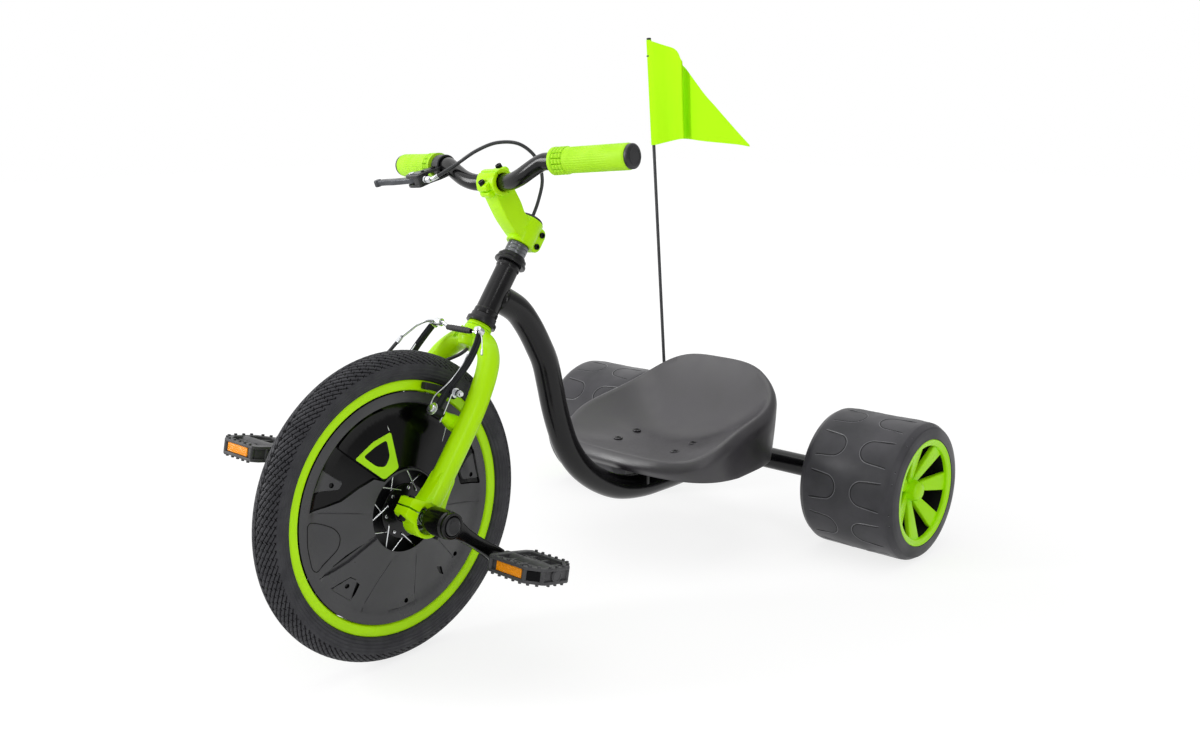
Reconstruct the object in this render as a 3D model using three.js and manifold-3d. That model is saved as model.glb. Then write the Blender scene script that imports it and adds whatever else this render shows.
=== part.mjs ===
// A child's drift trike. Millimetres, +Z up, front towards -Y, the rider's left towards +X.
// Inside the file the ground point under the front axle is the origin until the last line.
import * as THREE from 'three';
import { mergeVertices } from 'three/addons/utils/BufferGeometryUtils.js';
import Module from 'manifold-3d';

const wasm = await Module();
wasm.setup();

// Driving dimensions
const frontTyreRadius = 200;
const rearTyreRadius = 108;
const wheelbase = 745;
const rearHalfTrack = 356;
const headTilt = Math.atan2(3, 4);
const fit = 0.3;
const overrun = 5;
const meshTolerance = 0.03;

// Finishes
const finish = (color, roughness, metalness) =>
  new THREE.MeshStandardMaterial({ color, roughness, metalness });
const limePaint = finish('#8fdc00', 0.3, 0.0);
const blackPaint = finish('#17171a', 0.3, 0.2);
const limePlastic = finish('#7fd800', 0.45, 0.0);
const limeRubber = finish('#93dd12', 0.6, 0.0);
const blackPlastic = finish('#202124', 0.5, 0.0);
const greyPlastic = finish('#3f4144', 0.6, 0.0);
const blackRubber = finish('#26272a', 0.8, 0.0);
const brightSteel = finish('#c9ccd0', 0.25, 1.0);
const blackSteel = finish('#1b1c1f', 0.35, 0.7);
const greyAlloy = finish('#6c6e72', 0.4, 0.8);
const limeCloth = finish('#9be610', 0.8, 0.0);

// Shape helpers
function facingOut(geometry) {
  const place = geometry.getAttribute('position');
  const index = geometry.index ? Array.from(geometry.index.array) : [...Array(place.count).keys()];
  const [a, b, c] = [new THREE.Vector3(), new THREE.Vector3(), new THREE.Vector3()];
  let volume = 0;
  for (let i = 0; i < index.length; i += 3) {
    a.fromBufferAttribute(place, index[i]);
    b.fromBufferAttribute(place, index[i + 1]);
    c.fromBufferAttribute(place, index[i + 2]);
    volume += a.dot(b.cross(c));
  }
  if (volume < 0) {
    for (let i = 0; i < index.length; i += 3) [index[i], index[i + 1]] = [index[i + 1], index[i]];
  }
  geometry.setIndex(index);
  return geometry;
}

function solid(geometry) {
  const bare = geometry.clone();
  bare.deleteAttribute('normal');
  bare.deleteAttribute('uv');
  const merged = facingOut(mergeVertices(bare));
  return new wasm.Manifold(new wasm.Mesh({
    numProp: 3,
    vertProperties: new Float32Array(merged.getAttribute('position').array),
    triVerts: new Uint32Array(merged.index.array),
  }));
}

function geometryOf(body) {
  const mesh = body.simplify(meshTolerance).getMesh();
  const geometry = new THREE.BufferGeometry();
  geometry.setAttribute('position', new THREE.BufferAttribute(new Float32Array(mesh.vertProperties), 3));
  geometry.setIndex(Array.from(mesh.triVerts));
  geometry.computeVertexNormals();
  return geometry;
}

function joined(...geometries) {
  return geometryOf(geometries.map(solid).reduce((all, one) => all.add(one)));
}

function cut(base, ...tools) {
  return geometryOf(tools.map(solid).reduce((left, tool) => left.subtract(tool), solid(base)));
}

function kept(base, tool) {
  return geometryOf(solid(base).intersect(solid(tool)));
}

function outline(points) {
  return new THREE.Shape(points.map(([x, y]) => new THREE.Vector2(x, y)));
}

function ringOutline(radius, sides, squash = 1) {
  const points = [];
  for (let i = 0; i < sides; i++) {
    const turn = (2 * Math.PI * i) / sides;
    points.push([radius * Math.cos(turn), radius * squash * Math.sin(turn)]);
  }
  return points;
}

// A solid turned about Z from [radius, height] pairs that close on the axis or on themselves
function turned(profile, sides) {
  const points = profile.map(([radius, height]) => new THREE.Vector2(radius, height));
  if (profile[0][0] > 0) points.push(points[0].clone());
  return facingOut(new THREE.LatheGeometry(points, sides).rotateX(Math.PI / 2));
}

// The same, turned about X
function wheelTurned(profile, sides) {
  return turned(profile, sides).rotateY(Math.PI / 2);
}

function rod(radius, from, to, sides) {
  const length = from.distanceTo(to);
  const geometry = new THREE.CylinderGeometry(radius, radius, length, sides);
  const along = new THREE.Vector3().subVectors(to, from).normalize();
  const turn = new THREE.Quaternion().setFromUnitVectors(new THREE.Vector3(0, 1, 0), along);
  const middle = new THREE.Vector3().addVectors(from, to).multiplyScalar(0.5);
  return geometry.applyQuaternion(turn).translate(middle.x, middle.y, middle.z);
}

function bentTube(route, radius, sides, steps, squash = 1, boreRadius = 0) {
  const shape = outline(ringOutline(radius, sides, squash));
  if (boreRadius > 0) shape.holes.push(outline(ringOutline(boreRadius, sides / 2 + 1, squash)));
  const path = new THREE.CatmullRomCurve3(route, false, 'centripetal');
  return facingOut(new THREE.ExtrudeGeometry(shape, { steps, extrudePath: path, bevelEnabled: false }));
}

// A plate cut to an outline in the plane across X, as thick as width, centred on x
function sidePlate(points, width, x) {
  const geometry = new THREE.ExtrudeGeometry(outline(points), { depth: width, bevelEnabled: false });
  geometry.rotateY(Math.PI / 2).rotateX(Math.PI / 2);
  return facingOut(geometry.translate(x - width / 2, 0, 0));
}

function box(x, y, z, width, depth, height) {
  return new THREE.BoxGeometry(width, depth, height).translate(x, y, z);
}

const vec = (x, y, z) => new THREE.Vector3(x, y, z);
const both = [['left', 1], ['right', -1]];
const mirrored = (geometry, side) => facingOut(geometry.clone().scale(side, 1, 1));

const trike = new THREE.Group();

function piece(name, geometry, material, parent) {
  const mesh = new THREE.Mesh(geometry, material);
  mesh.name = name;
  parent.add(mesh);
  return mesh;
}

// Steering frame: origin on the front axle, z up the steering axis, -y forward of it
const steering = new THREE.Group();
steering.position.set(0, 0, frontTyreRadius);
steering.rotation.x = -headTilt;
trike.add(steering);
steering.updateMatrixWorld(true);
const steerPlace = steering.matrixWorld.clone();
// A place by its side, its distance forward of the steering axis and its height along it
const at = (x, forward, up) => vec(x, -forward, up);

// Stations along the steering axis
const crownTop = 258;
const headTubeLength = 79.4;
const lowerCupHeight = 13;
const crownRaceHeight = 5.4;
const upperCupHeight = 6;
const topRaceHeight = 7;
const spacerHeight = 16.4;
const stemClampHeight = 38;
const steererCapHeight = 3.5;
const crownRaceBase = crownTop + fit;
const lowerCupBase = crownRaceBase + crownRaceHeight + fit;
const headTubeBase = lowerCupBase + lowerCupHeight + fit;
const headTubeTop = headTubeBase + headTubeLength;
const upperCupBase = headTubeTop + fit;
const topRaceBase = upperCupBase + upperCupHeight + fit;
const spacerBase = topRaceBase + topRaceHeight + fit;
const stemBase = spacerBase + spacerHeight + fit;
const stemTop = stemBase + stemClampHeight;
const steererTop = stemTop - fit;

// Frame: head tube, S tube, cross axle tube and seat bracket, welded into one
const headTubeRadius = 15.5;
const headTubeWall = 2;
const roundSides = 16;
const fineSides = 20;
const smallSides = 12;
const frameTubeRadius = 19;
const frameTubeWall = 2;
const frameTubeSides = 10;
const frameBoreSides = 8;
const frameTubeSteps = 18;
const axleTubeRadius = 17.5;
const axleTubeHalf = 183;
const axleTubeWall = 2.5;
const axlePlugDepth = 10;
const axleRodRadius = 6;
// The S tube leaves the back of the head tube and ends at the middle of the rear axle tube
const frameStartBack = 12.2;
const frameBoreBack = 2;
const frameStartUp = 33.1;
const onHeadTube = (back) => at(0, -back, headTubeBase + frameStartUp).applyMatrix4(steerPlace);
const frameStart = onHeadTube(frameStartBack);
// Its points between those two, as shares of the way back and of the height above the axle
const frameShares = [
  [0.0556, 0.943], [0.0929, 0.8709], [0.1275, 0.7778], [0.1512, 0.6997], [0.1685, 0.5946],
  [0.1821, 0.5015], [0.2004, 0.4069], [0.2259, 0.3078], [0.2678, 0.2102], [0.3188, 0.1351],
  [0.3807, 0.0721], [0.4426, 0.03], [0.5301, 0.003], [0.6357, -0.003], [0.8179, 0], [1, 0],
];
const onFrame = (back, up) => vec(0, THREE.MathUtils.lerp(frameStart.y, wheelbase, back),
  THREE.MathUtils.lerp(rearTyreRadius, frameStart.z, up));
const frameLine = frameShares.map(([back, up]) => onFrame(back, up));
const frameRoute = [frameStart, ...frameLine];
const frameBoreRoute = [onHeadTube(frameBoreBack), ...frameLine];
const seatBracketWidth = 150;
const seatBracketPlate = 3;
const seatFloorUp = 169;
const seatWall = 5;
const seatBracketTop = seatFloorUp - seatWall - fit;
const seatBracketLength = 92;
const seatBracketShare = 0.5137;
const seatBracketFront = onFrame(seatBracketShare, 0).y;
const seatBracketBack = seatBracketFront + seatBracketLength;
const seatBracketFoot = 44;

function frameTube() {
  const head = rod(headTubeRadius, at(0, 0, headTubeBase), at(0, 0, headTubeTop), roundSides);
  head.applyMatrix4(steerPlace);
  const bore = rod(headTubeRadius - headTubeWall, at(0, 0, headTubeBase - overrun),
    at(0, 0, headTubeTop + overrun), roundSides);
  bore.applyMatrix4(steerPlace);
  const backbone = bentTube(frameRoute, frameTubeRadius, frameTubeSides, frameTubeSteps);
  const hollow = bentTube(frameBoreRoute, frameTubeRadius - frameTubeWall, frameBoreSides,
    frameTubeSteps);
  const axle = rod(axleTubeRadius, vec(-axleTubeHalf, wheelbase, rearTyreRadius),
    vec(axleTubeHalf, wheelbase, rearTyreRadius), fineSides);
  const tubeBore = axleTubeHalf - axlePlugDepth;
  const axleHollow = rod(axleTubeRadius - axleTubeWall, vec(-tubeBore, wheelbase, rearTyreRadius),
    vec(tubeBore, wheelbase, rearTyreRadius), fineSides);
  const rodHole = rod(axleRodRadius + fit, vec(-axleTubeHalf - overrun, wheelbase, rearTyreRadius),
    vec(axleTubeHalf + overrun, wheelbase, rearTyreRadius), smallSides);
  const middle = (seatBracketFront + seatBracketBack) / 2;
  const length = seatBracketBack - seatBracketFront;
  const plate = box(0, middle, seatBracketTop - seatBracketPlate / 2, seatBracketWidth, length,
    seatBracketPlate);
  const footBase = rearTyreRadius + frameTubeRadius / 2;
  const footHeight = seatBracketTop - footBase - seatBracketPlate / 2;
  const feet = [seatBracketFront + seatBracketPlate, seatBracketBack - seatBracketPlate].map((y) =>
    box(0, y, footBase + footHeight / 2, seatBracketFoot, seatBracketPlate * 2, footHeight));
  const outer = joined(head, backbone, axle, plate, ...feet);
  return cut(outer, hollow, bore, axleHollow, rodHole);
}
piece('frame', frameTube(), blackPaint, trike);

// Headset: cups on the ends of the head tube, races and spacer on the steerer
const steererRadius = 12.7;
const steererBore = 9.5;
const cupRadius = 20.5;
const upperCupRadius = 22;
const cupNeckRadius = 17.5;
const cupLip = 6;
const raceRadius = 17.5;
const topRaceRadius = 20;
const topRaceNeck = 17;
const spacerRadius = 14.8;
const steererCapRadius = 17.5;
const cableRadius = 2.4;
const ringBore = steererRadius + fit;
const steppedRing = (base, height, wide, narrow, lip) => turned([
  [ringBore, base], [wide, base], [wide, base + lip], [narrow, base + lip], [narrow, base + height],
  [ringBore, base + height],
], roundSides);
const plainRing = (base, height, radius) => turned([
  [ringBore, base], [radius, base], [radius, base + height], [ringBore, base + height],
], roundSides);
piece('headset_lower_cup', steppedRing(lowerCupBase, lowerCupHeight, cupRadius, cupNeckRadius, cupLip),
  blackPaint, steering);
piece('headset_upper_cup',
  steppedRing(upperCupBase, upperCupHeight, upperCupRadius, cupRadius, upperCupHeight * 0.6),
  blackPaint, steering);
piece('headset_crown_race', plainRing(crownRaceBase, crownRaceHeight, raceRadius), brightSteel, steering);
piece('headset_top_race',
  steppedRing(topRaceBase, topRaceHeight, topRaceRadius, topRaceNeck, topRaceHeight / 2),
  blackPaint, steering);
piece('steerer_spacer', plainRing(spacerBase, spacerHeight, spacerRadius), greyAlloy, steering);
piece('steerer_cap', turned([
  [cableRadius + fit, stemTop + fit], [steererCapRadius, stemTop + fit],
  [steererCapRadius - steererCapHeight / 3, stemTop + fit + steererCapHeight],
  [cableRadius + fit, stemTop + fit + steererCapHeight],
], roundSides), blackPlastic, steering);

// Fork: steerer, crown tubes, legs, upper clamp halves and brake posts
const crownRadius = 17;
const crownHeight = 9;
const legRadius = 14.5;
const legSides = 8;
const legSteps = 10;
const legX = 60;
const hubClampInner = 50;
const hubClampWidth = 22;
const bearingRadius = 20;
const clampWall = 5;
const clampEar = 39;
const clampEarHeight = 12;
const clampX = hubClampInner + hubClampWidth / 2;
const clampSides = 16;
const brakePostX = 40;
const brakePostUp = 124;
const brakePostRadius = 4;
const brakePostStart = 14;
const brakePostEnd = 47;
const brakePlateUp = 22;
// A leg's points from the crown down, as shares of how far out it ends and of the crown's height
const legShares = [
  [0.1, 0.942], [0.4, 0.924], [0.6, 0.886], [0.75, 0.837], [0.85, 0.775], [0.925, 0.698],
  [1, 0.562], [1.017, 0.31],
];
const legRoute = [
  ...legShares.map(([out, up]) => at(legX * out, 0, crownTop * up)), at(legX, 0, bearingRadius),
];

function clampHalf(side, upper) {
  const turn = upper ? 1 : -1;
  const ring = rod(bearingRadius + clampWall, vec(hubClampInner, 0, 0),
    vec(hubClampInner + hubClampWidth, 0, 0), clampSides);
  const ears = box(clampX, 0, turn * clampEarHeight / 2, hubClampWidth, 2 * clampEar, clampEarHeight);
  const half = box(clampX, 0, turn * (clampEar + fit) / 2 + turn * fit / 2, hubClampWidth + overrun,
    2 * clampEar + overrun, clampEar + fit);
  return mirrored(kept(joined(ring, ears), half), side);
}

function bearingBore(side) {
  return mirrored(rod(bearingRadius + fit, vec(hubClampInner - overrun - legRadius, 0, 0),
    vec(hubClampInner + hubClampWidth + overrun, 0, 0), clampSides), side);
}

function fork() {
  const parts = [
    rod(steererRadius, at(0, 0, crownTop - crownHeight), at(0, 0, steererTop), roundSides),
    rod(crownRadius, at(0, 0, crownTop - crownHeight * 2), at(0, 0, crownTop), roundSides),
  ];
  for (const [, side] of both) {
    parts.push(mirrored(bentTube(legRoute, legRadius, legSides, legSteps), side));
    parts.push(clampHalf(side, true));
    parts.push(mirrored(box((brakePostX + legX) / 2, -brakePostStart / 2, brakePostUp,
      legX - brakePostX + 2 * brakePostRadius, brakePostStart, brakePlateUp), side));
    parts.push(rod(brakePostRadius, at(side * brakePostX, 0, brakePostUp),
      at(side * brakePostX, brakePostEnd, brakePostUp), legSides));
  }
  const steererHollow = rod(steererBore, at(0, 0, crownTop - crownHeight * 4),
    at(0, 0, steererTop + overrun), legSides);
  return cut(joined(...parts), steererHollow, bearingBore(1), bearingBore(-1));
}
piece('fork', fork(), limePaint, steering);
for (const [word, side] of both) {
  piece(`fork_cap_${word}`, cut(clampHalf(side, false), bearingBore(side)), limePaint, steering);
}

// Hub bearings sit in the fork clamps and carry the spindle
const spindleRadius = 8.5;
const bearingInner = 44;
const bearingWidth = 14;
for (const [word, side] of both) {
  const inner = spindleRadius + fit;
  const outerEnd = bearingInner + bearingWidth;
  piece(`hub_bearing_${word}`, mirrored(wheelTurned([
    [inner, bearingInner], [bearingRadius, bearingInner], [bearingRadius, outerEnd], [inner, outerEnd],
  ], clampSides), side), brightSteel, steering);
}

// Stem and handlebar are turned a few degrees from the wheel's line
const stemTurn = THREE.MathUtils.degToRad(6);
const cockpit = new THREE.Group();
cockpit.rotation.z = -stemTurn;
steering.add(cockpit);

const barForward = 78;
const barUp = 435;
const barRadius = 11.1;
const barWall = 2;
const barSides = 8;
const barSteps = 26;
const barFit = 0.7;
const barClampHalf = 20;
const barHalf = 233;
const barBendX = 100;
const barBendForward = 13.9;
const barBendUp = 19.8;
const barRun = 140;
const barSweep = 16.7;
const barRise = 15.4;
// Past its bends the bar runs straight, swept back and up a little
const barBend = at(barBendX, barForward + barBendForward, barUp + barBendUp);
const barEnd = barBend.clone().add(at(barRun, -barSweep, barRise));
const barAlong = barEnd.clone().sub(barBend).normalize();
const onBar = (x) => barBend.clone().lerp(barEnd, (x - barBend.x) / (barEnd.x - barBend.x));
const stemClampRadius = 19;
const stemWidth = 28;
const stemEarBack = 29;
const stemEarWidth = 18;
const stemEarRound = 5;
const stemSlot = 2;
const barClampRadius = 18;
const barClampWidth = 36;
const barClampTab = 24;
const barClampTabWidth = 20;
const barClampTabHeight = 9;
const faceTurn = -THREE.MathUtils.degToRad(20);
const seam = 1.5;
// The trunk's side view, as shares of the way forward to the bar and of the height up to it
const trunkShares = [
  [0, 0.06], [0.22, 0.12], [0.56, 0.29], [0.85, 0.52], [0.97, 0.66], [0.9, 1.27], [0.74, 1.17],
  [0.29, 0.71], [0, 0.71],
];

function stem() {
  const clamp = rod(stemClampRadius, at(0, 0, stemBase), at(0, 0, stemTop), roundSides);
  const trunk = sidePlate(trunkShares.map(([forward, up]) =>
    [-barForward * forward, THREE.MathUtils.lerp(stemBase, barUp, up)]), stemWidth, 0);
  const barRing = rod(barClampRadius, at(-barClampWidth / 2, barForward, barUp),
    at(barClampWidth / 2, barForward, barUp), roundSides);
  const ear = sidePlate([
    [0, stemBase + seam], [stemEarBack - stemEarRound, stemBase + seam],
    [stemEarBack, stemBase + 2 * stemEarRound], [stemEarBack, stemTop - 2 * stemEarRound],
    [stemEarBack - stemEarRound, stemTop - seam], [0, stemTop - seam],
  ], stemEarWidth, 0);
  const tabs = box(0, 0, 0, barClampTabWidth, barClampTabHeight, 2 * barClampTab);
  tabs.translate(0, barClampTabHeight / 2, 0);
  const front = box(0, -barClampTab, 0, 2 * barClampTab, 2 * barClampTab, 4 * barClampTab);
  const faced = (geometry) => geometry.rotateX(faceTurn).translate(0, -barForward, barUp);
  const outer = joined(clamp, trunk, barRing, ear, faced(tabs));
  const steererHole = rod(steererRadius + fit, at(0, 0, stemBase - overrun),
    at(0, 0, stemTop + overrun), roundSides);
  const barHole = rod(barRadius + barFit, at(-barClampWidth, barForward, barUp),
    at(barClampWidth, barForward, barUp), roundSides);
  const slot = box(0, stemEarBack, (stemBase + stemTop) / 2, stemSlot, 2 * stemEarBack,
    stemClampHeight + overrun);
  return cut(outer, steererHole, barHole, slot, faced(front));
}
piece('stem', stem(), limePaint, cockpit);

function handlebarClamp() {
  const ring = rod(barClampRadius, vec(-barClampWidth / 2, 0, 0), vec(barClampWidth / 2, 0, 0),
    roundSides);
  const tabs = box(0, -barClampTabHeight / 2 - seam, 0, barClampTabWidth, barClampTabHeight,
    2 * barClampTab);
  const back = box(0, barClampTab - seam, 0, 2 * barClampTab, 2 * barClampTab, 4 * barClampTab);
  const hole = rod(barRadius + barFit, vec(-barClampWidth, 0, 0), vec(barClampWidth, 0, 0), roundSides);
  return cut(joined(ring, tabs), back, hole).rotateX(faceTurn).translate(0, -barForward, barUp);
}
piece('handlebar_clamp', handlebarClamp(), limePaint, cockpit);

// The bar's bend between clamp and grip: shares of the way out, forward and up
const barBendShares = [
  [0.25, 0.252, -0.05], [0.475, 0.54, 0.101], [0.7, 0.827, 0.4545], [0.875, 0.978, 0.798],
];
const halfBarRoute = [
  at(barClampHalf, barForward, barUp),
  ...barBendShares.map(([out, forward, up]) =>
    at(THREE.MathUtils.lerp(barClampHalf, barBendX, out), barForward + barBendForward * forward,
      barUp + barBendUp * up)),
  barBend, onBar(barBendX + barRadius), onBar(barHalf),
];
const barRoute = [
  ...halfBarRoute.slice().reverse().map((point) => vec(-point.x, point.y, point.z)),
  at(0, barForward, barUp), ...halfBarRoute,
];
piece('handlebar', bentTube(barRoute, barRadius, barSides, barSteps, 1, barRadius - barWall),
  blackPaint, cockpit);

// Grips, with a ribbed flange inboard, and end plugs
const gripRadius = 16.3;
const gripFlangeRadius = 17.6;
const gripFlangeWidth = 5;
const gripInner = { left: 118, right: 128 };
const plugRadius = 15.4;
const plugWidth = 6;
const plugCrown = 1.5;
const plugStub = 14;
const plugStubRadius = 7;
const barTurn = new THREE.Quaternion().setFromUnitVectors(vec(1, 0, 0), barAlong);
// A shape turned about X is set on the bar, its x counted from the bend
const setOnBar = (geometry, side) =>
  mirrored(geometry.applyQuaternion(barTurn).translate(barBend.x, barBend.y, barBend.z), side);

const gripEnd = barBend.distanceTo(onBar(barHalf));
for (const [word, side] of both) {
  const bore = barRadius + barFit;
  const gripStart = barBend.distanceTo(onBar(gripInner[word]));
  piece(`grip_${word}`, setOnBar(wheelTurned([
    [bore, gripStart], [gripFlangeRadius, gripStart], [gripFlangeRadius, gripStart + gripFlangeWidth],
    [gripRadius, gripStart + gripFlangeWidth], [gripRadius, gripEnd], [bore, gripEnd],
  ], roundSides), side), limeRubber, cockpit);
  const face = gripEnd + fit;
  piece(`bar_end_${word}`, setOnBar(wheelTurned([
    [0, face - plugStub], [plugStubRadius, face - plugStub], [plugStubRadius, face],
    [plugRadius, face], [plugRadius, face + plugWidth - plugCrown],
    [plugRadius - plugCrown * 2, face + plugWidth], [0, face + plugWidth],
  ], roundSides), side), blackPlastic, cockpit);
}

// Brake lever: origin on its pivot, z along the pin, y towards the bar as it is pulled
const leverPull = THREE.MathUtils.degToRad(53.93);
const pivotForward = 109;
const pivotUp = 421;
const pivotX = -137;
const leverPlace = new THREE.Group();
leverPlace.position.copy(at(pivotX, pivotForward, pivotUp));
leverPlace.rotation.x = leverPull;
cockpit.add(leverPlace);
leverPlace.updateMatrix();
const inLever = (point) => point.applyMatrix4(leverPlace.matrix.clone().invert());
const leverClampStart = 13;
const leverClampWidth = 18;
const leverClampRadius = 15;
const leverClampEnd = leverClampStart + leverClampWidth;
const onRightBar = (x) => inLever(onBar(-pivotX - x).multiply(vec(-1, 1, 1)));
const bandStart = onRightBar(leverClampStart);
const bandEnd = onRightBar(leverClampEnd);
const leverBodyThick = 17;
const leverSlot = 9;
const leverSlotEnd = 8.8;
const leverSlotTop = 12;
const leverThick = leverSlot - 4 * fit;
const leverBossRadius = 7;
const pinRadius = 2.5;
const adjusterStart = 25;
const adjusterRadius = 4.6;
const adjusterLength = 16;
const leverBodyHalf = 9.5;
const leverLength = 77;
// The bracket's side view between adjuster and clamp band, as shares of its half height
const leverFrontShares = [[3.26, 2.53], [2.84, 1.47]];
const leverBackShares = [
  [0.95, -1.05], [0, -1], [-0.74, -0.68], [-1, 0], [-0.74, 0.68], [0.21, 1.05], [0.84, 1.9],
  [1.37, 2.95],
];
const scaledBy = (size, shares) => shares.map(([x, y]) => [size * x, size * y]);
const leverBodyOutline = [
  [leverClampStart, bandStart.y], [leverClampEnd, bandEnd.y],
  ...scaledBy(leverBodyHalf, leverFrontShares),
  [adjusterStart, leverBodyHalf], [adjusterStart, -leverBodyHalf],
  ...scaledBy(leverBodyHalf, leverBackShares),
];
// The blade's side view, as shares of its length
const leverShares = [
  [0, 0.091], [-0.104, 0.058], [-0.26, 0.013], [-0.519, -0.026], [-0.74, -0.032], [-0.883, -0.052],
  [-0.974, -0.091], [-1, -0.143], [-0.961, -0.182], [-0.87, -0.175], [-0.701, -0.156],
  [-0.494, -0.156], [-0.286, -0.13], [-0.117, -0.104], [0, -0.091],
];

// A plate cut to an outline, its thickness centred on z
function flatPlate(points, thick) {
  const geometry = new THREE.ExtrudeGeometry(outline(points), { depth: thick, bevelEnabled: false });
  return facingOut(geometry.translate(0, 0, -thick / 2));
}

function leverBracket() {
  const band = rod(leverClampRadius, bandStart, bandEnd, roundSides);
  const barHole = rod(barRadius + barFit, onRightBar(0), onRightBar(leverClampEnd + leverClampWidth),
    roundSides);
  const pinHole = rod(pinRadius + fit, vec(0, 0, -leverBodyThick), vec(0, 0, leverBodyThick), legSides);
  const slot = box(leverSlotEnd - leverClampEnd, leverSlotTop - leverClampEnd, 0, 2 * leverClampEnd,
    2 * leverClampEnd, leverSlot);
  return cut(joined(band, flatPlate(leverBodyOutline, leverBodyThick)), barHole, pinHole, slot);
}
piece('brake_lever_bracket', leverBracket(), blackPlastic, leverPlace);

function brakeLever() {
  const boss = rod(leverBossRadius, vec(0, 0, -leverThick / 2), vec(0, 0, leverThick / 2), roundSides);
  const hole = rod(pinRadius + fit, vec(0, 0, -leverThick), vec(0, 0, leverThick), legSides);
  return cut(joined(flatPlate(scaledBy(leverLength, leverShares), leverThick), boss), hole);
}
piece('brake_lever', brakeLever(), blackPaint, leverPlace);
piece('lever_pivot_pin', rod(pinRadius, vec(0, 0, -leverBodyThick / 2), vec(0, 0, leverBodyThick / 2),
  legSides), brightSteel, leverPlace);
piece('barrel_adjuster', wheelTurned([
  [0, adjusterStart + fit], [adjusterRadius, adjusterStart + fit],
  [adjusterRadius, adjusterStart + adjusterLength * 0.6],
  [adjusterRadius * 0.7, adjusterStart + adjusterLength], [0, adjusterStart + adjusterLength],
], roundSides), brightSteel, leverPlace);

// Brake arms on the fork posts, shoes, noodle and boot
const armSleeveRadius = 8;
const armSleeveStart = 30;
const armSleeveLength = 16;
const armRadius = 5.2;
const armSquash = 0.75;
const armSides = 6;
const armSteps = 8;
const armBow = 12;
const armLength = 119;
// The arm's points up from its sleeve: shares of its bow, of the sleeve's length and of its own
const armShares = [
  [0.083, 0.6875, 0.0336], [0.417, 0.844, 0.168], [0.79, 0.75, 0.37], [1, 0.5, 0.605],
  [0.79, 0.344, 0.807], [0.283, 0.281, 1],
];
const armRoute = armShares.map(([out, forward, up]) => at(brakePostX + armBow * out,
  armSleeveStart + armSleeveLength * forward, brakePostUp + armLength * up));
const shoeForward = 33;
const shoeUp = 155;
const shoePostRadius = 3;
const shoeInner = 16.1;
const shoeThick = 9;
const shoeDeep = 9;
const shoeSpan = THREE.MathUtils.degToRad(20);
const shoePostEnd = 52;
const shoeEyeRadius = 8;
const shoeEyeStart = 38;
const shoeEyeEnd = 50;
const shoeRadius = Math.hypot(shoeForward, shoeUp);
const shoeMiddle = Math.atan2(shoeForward, shoeUp);
const shoeSteps = 6;

function brakeShoe() {
  const points = [];
  for (const [radius, order] of [[shoeRadius - shoeDeep / 2, 1], [shoeRadius + shoeDeep / 2, -1]]) {
    for (let i = 0; i <= shoeSteps; i++) {
      const turn = shoeMiddle + order * shoeSpan * (i / shoeSteps - 0.5);
      points.push([-radius * Math.sin(turn), radius * Math.cos(turn)]);
    }
  }
  const block = sidePlate(points, shoeThick, shoeInner + shoeThick / 2);
  const post = rod(shoePostRadius, at(shoeInner + shoeThick / 2, shoeForward, shoeUp),
    at(shoePostEnd, shoeForward, shoeUp), legSides);
  return joined(block, post);
}

function brakeArm() {
  const sleeve = rod(armSleeveRadius, at(brakePostX, armSleeveStart, brakePostUp),
    at(brakePostX, armSleeveStart + armSleeveLength, brakePostUp), smallSides);
  const bar = bentTube(armRoute, armRadius, armSides, armSteps, armSquash);
  const eye = rod(shoeEyeRadius, at(shoeEyeStart, shoeForward, shoeUp),
    at(shoeEyeEnd, shoeForward, shoeUp), smallSides);
  const postHole = rod(brakePostRadius + fit, at(brakePostX, 0, brakePostUp),
    at(brakePostX, brakePostEnd + armSleeveLength, brakePostUp), roundSides);
  const shoeHole = rod(shoePostRadius + fit, at(0, shoeForward, shoeUp),
    at(shoePostEnd + overrun, shoeForward, shoeUp), legSides);
  return cut(joined(sleeve, bar, eye), postHole, shoeHole);
}
for (const [word, side] of both) {
  piece(`brake_arm_${word}`, mirrored(brakeArm(), side), blackSteel, steering);
  piece(`brake_shoe_${word}`, mirrored(brakeShoe(), side), blackRubber, steering);
}

const bootRadius = 5;
const bootEnd = 28.5;
const bootLength = 45;
const bootBore = 1.5;
const bootForward = 34.5;
const bootUp = 239.5;
const noodleRadius = 2.5;
const noodleGap = 1;
const noodleOut = 36.5;
const noodleForward = 30.7;
const noodleDrop = 36.9;
const noodleSteps = 12;
const noodleStart = at(bootEnd - bootLength - noodleGap, bootForward, bootUp + noodleGap);
// The noodle's points from the boot to the cable: shares of its reach out, forward and down
const noodleShares = [
  [0, 0, 0], [0.233, 0.033, -0.081], [0.507, 0.195, -0.068], [0.753, 0.407, 0.051],
  [0.918, 0.635, 0.35], [0.973, 0.798, 0.653], [1, 1, 1],
];
const noodleRoute = noodleShares.map(([out, forward, down]) =>
  noodleStart.clone().add(at(-noodleOut * out, noodleForward * forward, -noodleDrop * down)));
piece('brake_noodle', bentTube(noodleRoute, noodleRadius, armSides, noodleSteps), brightSteel,
  steering);
const boot = wheelTurned([
  [bootBore, -bootLength / 2], [bootRadius * 0.7, -bootLength / 2], [bootRadius, -bootLength / 3],
  [bootRadius, bootLength / 3], [bootRadius * 0.6, bootLength / 2], [bootBore, bootLength / 2],
], legSides);
piece('noodle_boot', boot.translate(bootEnd - bootLength / 2, -bootForward, bootUp), blackRubber,
  steering);

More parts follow.
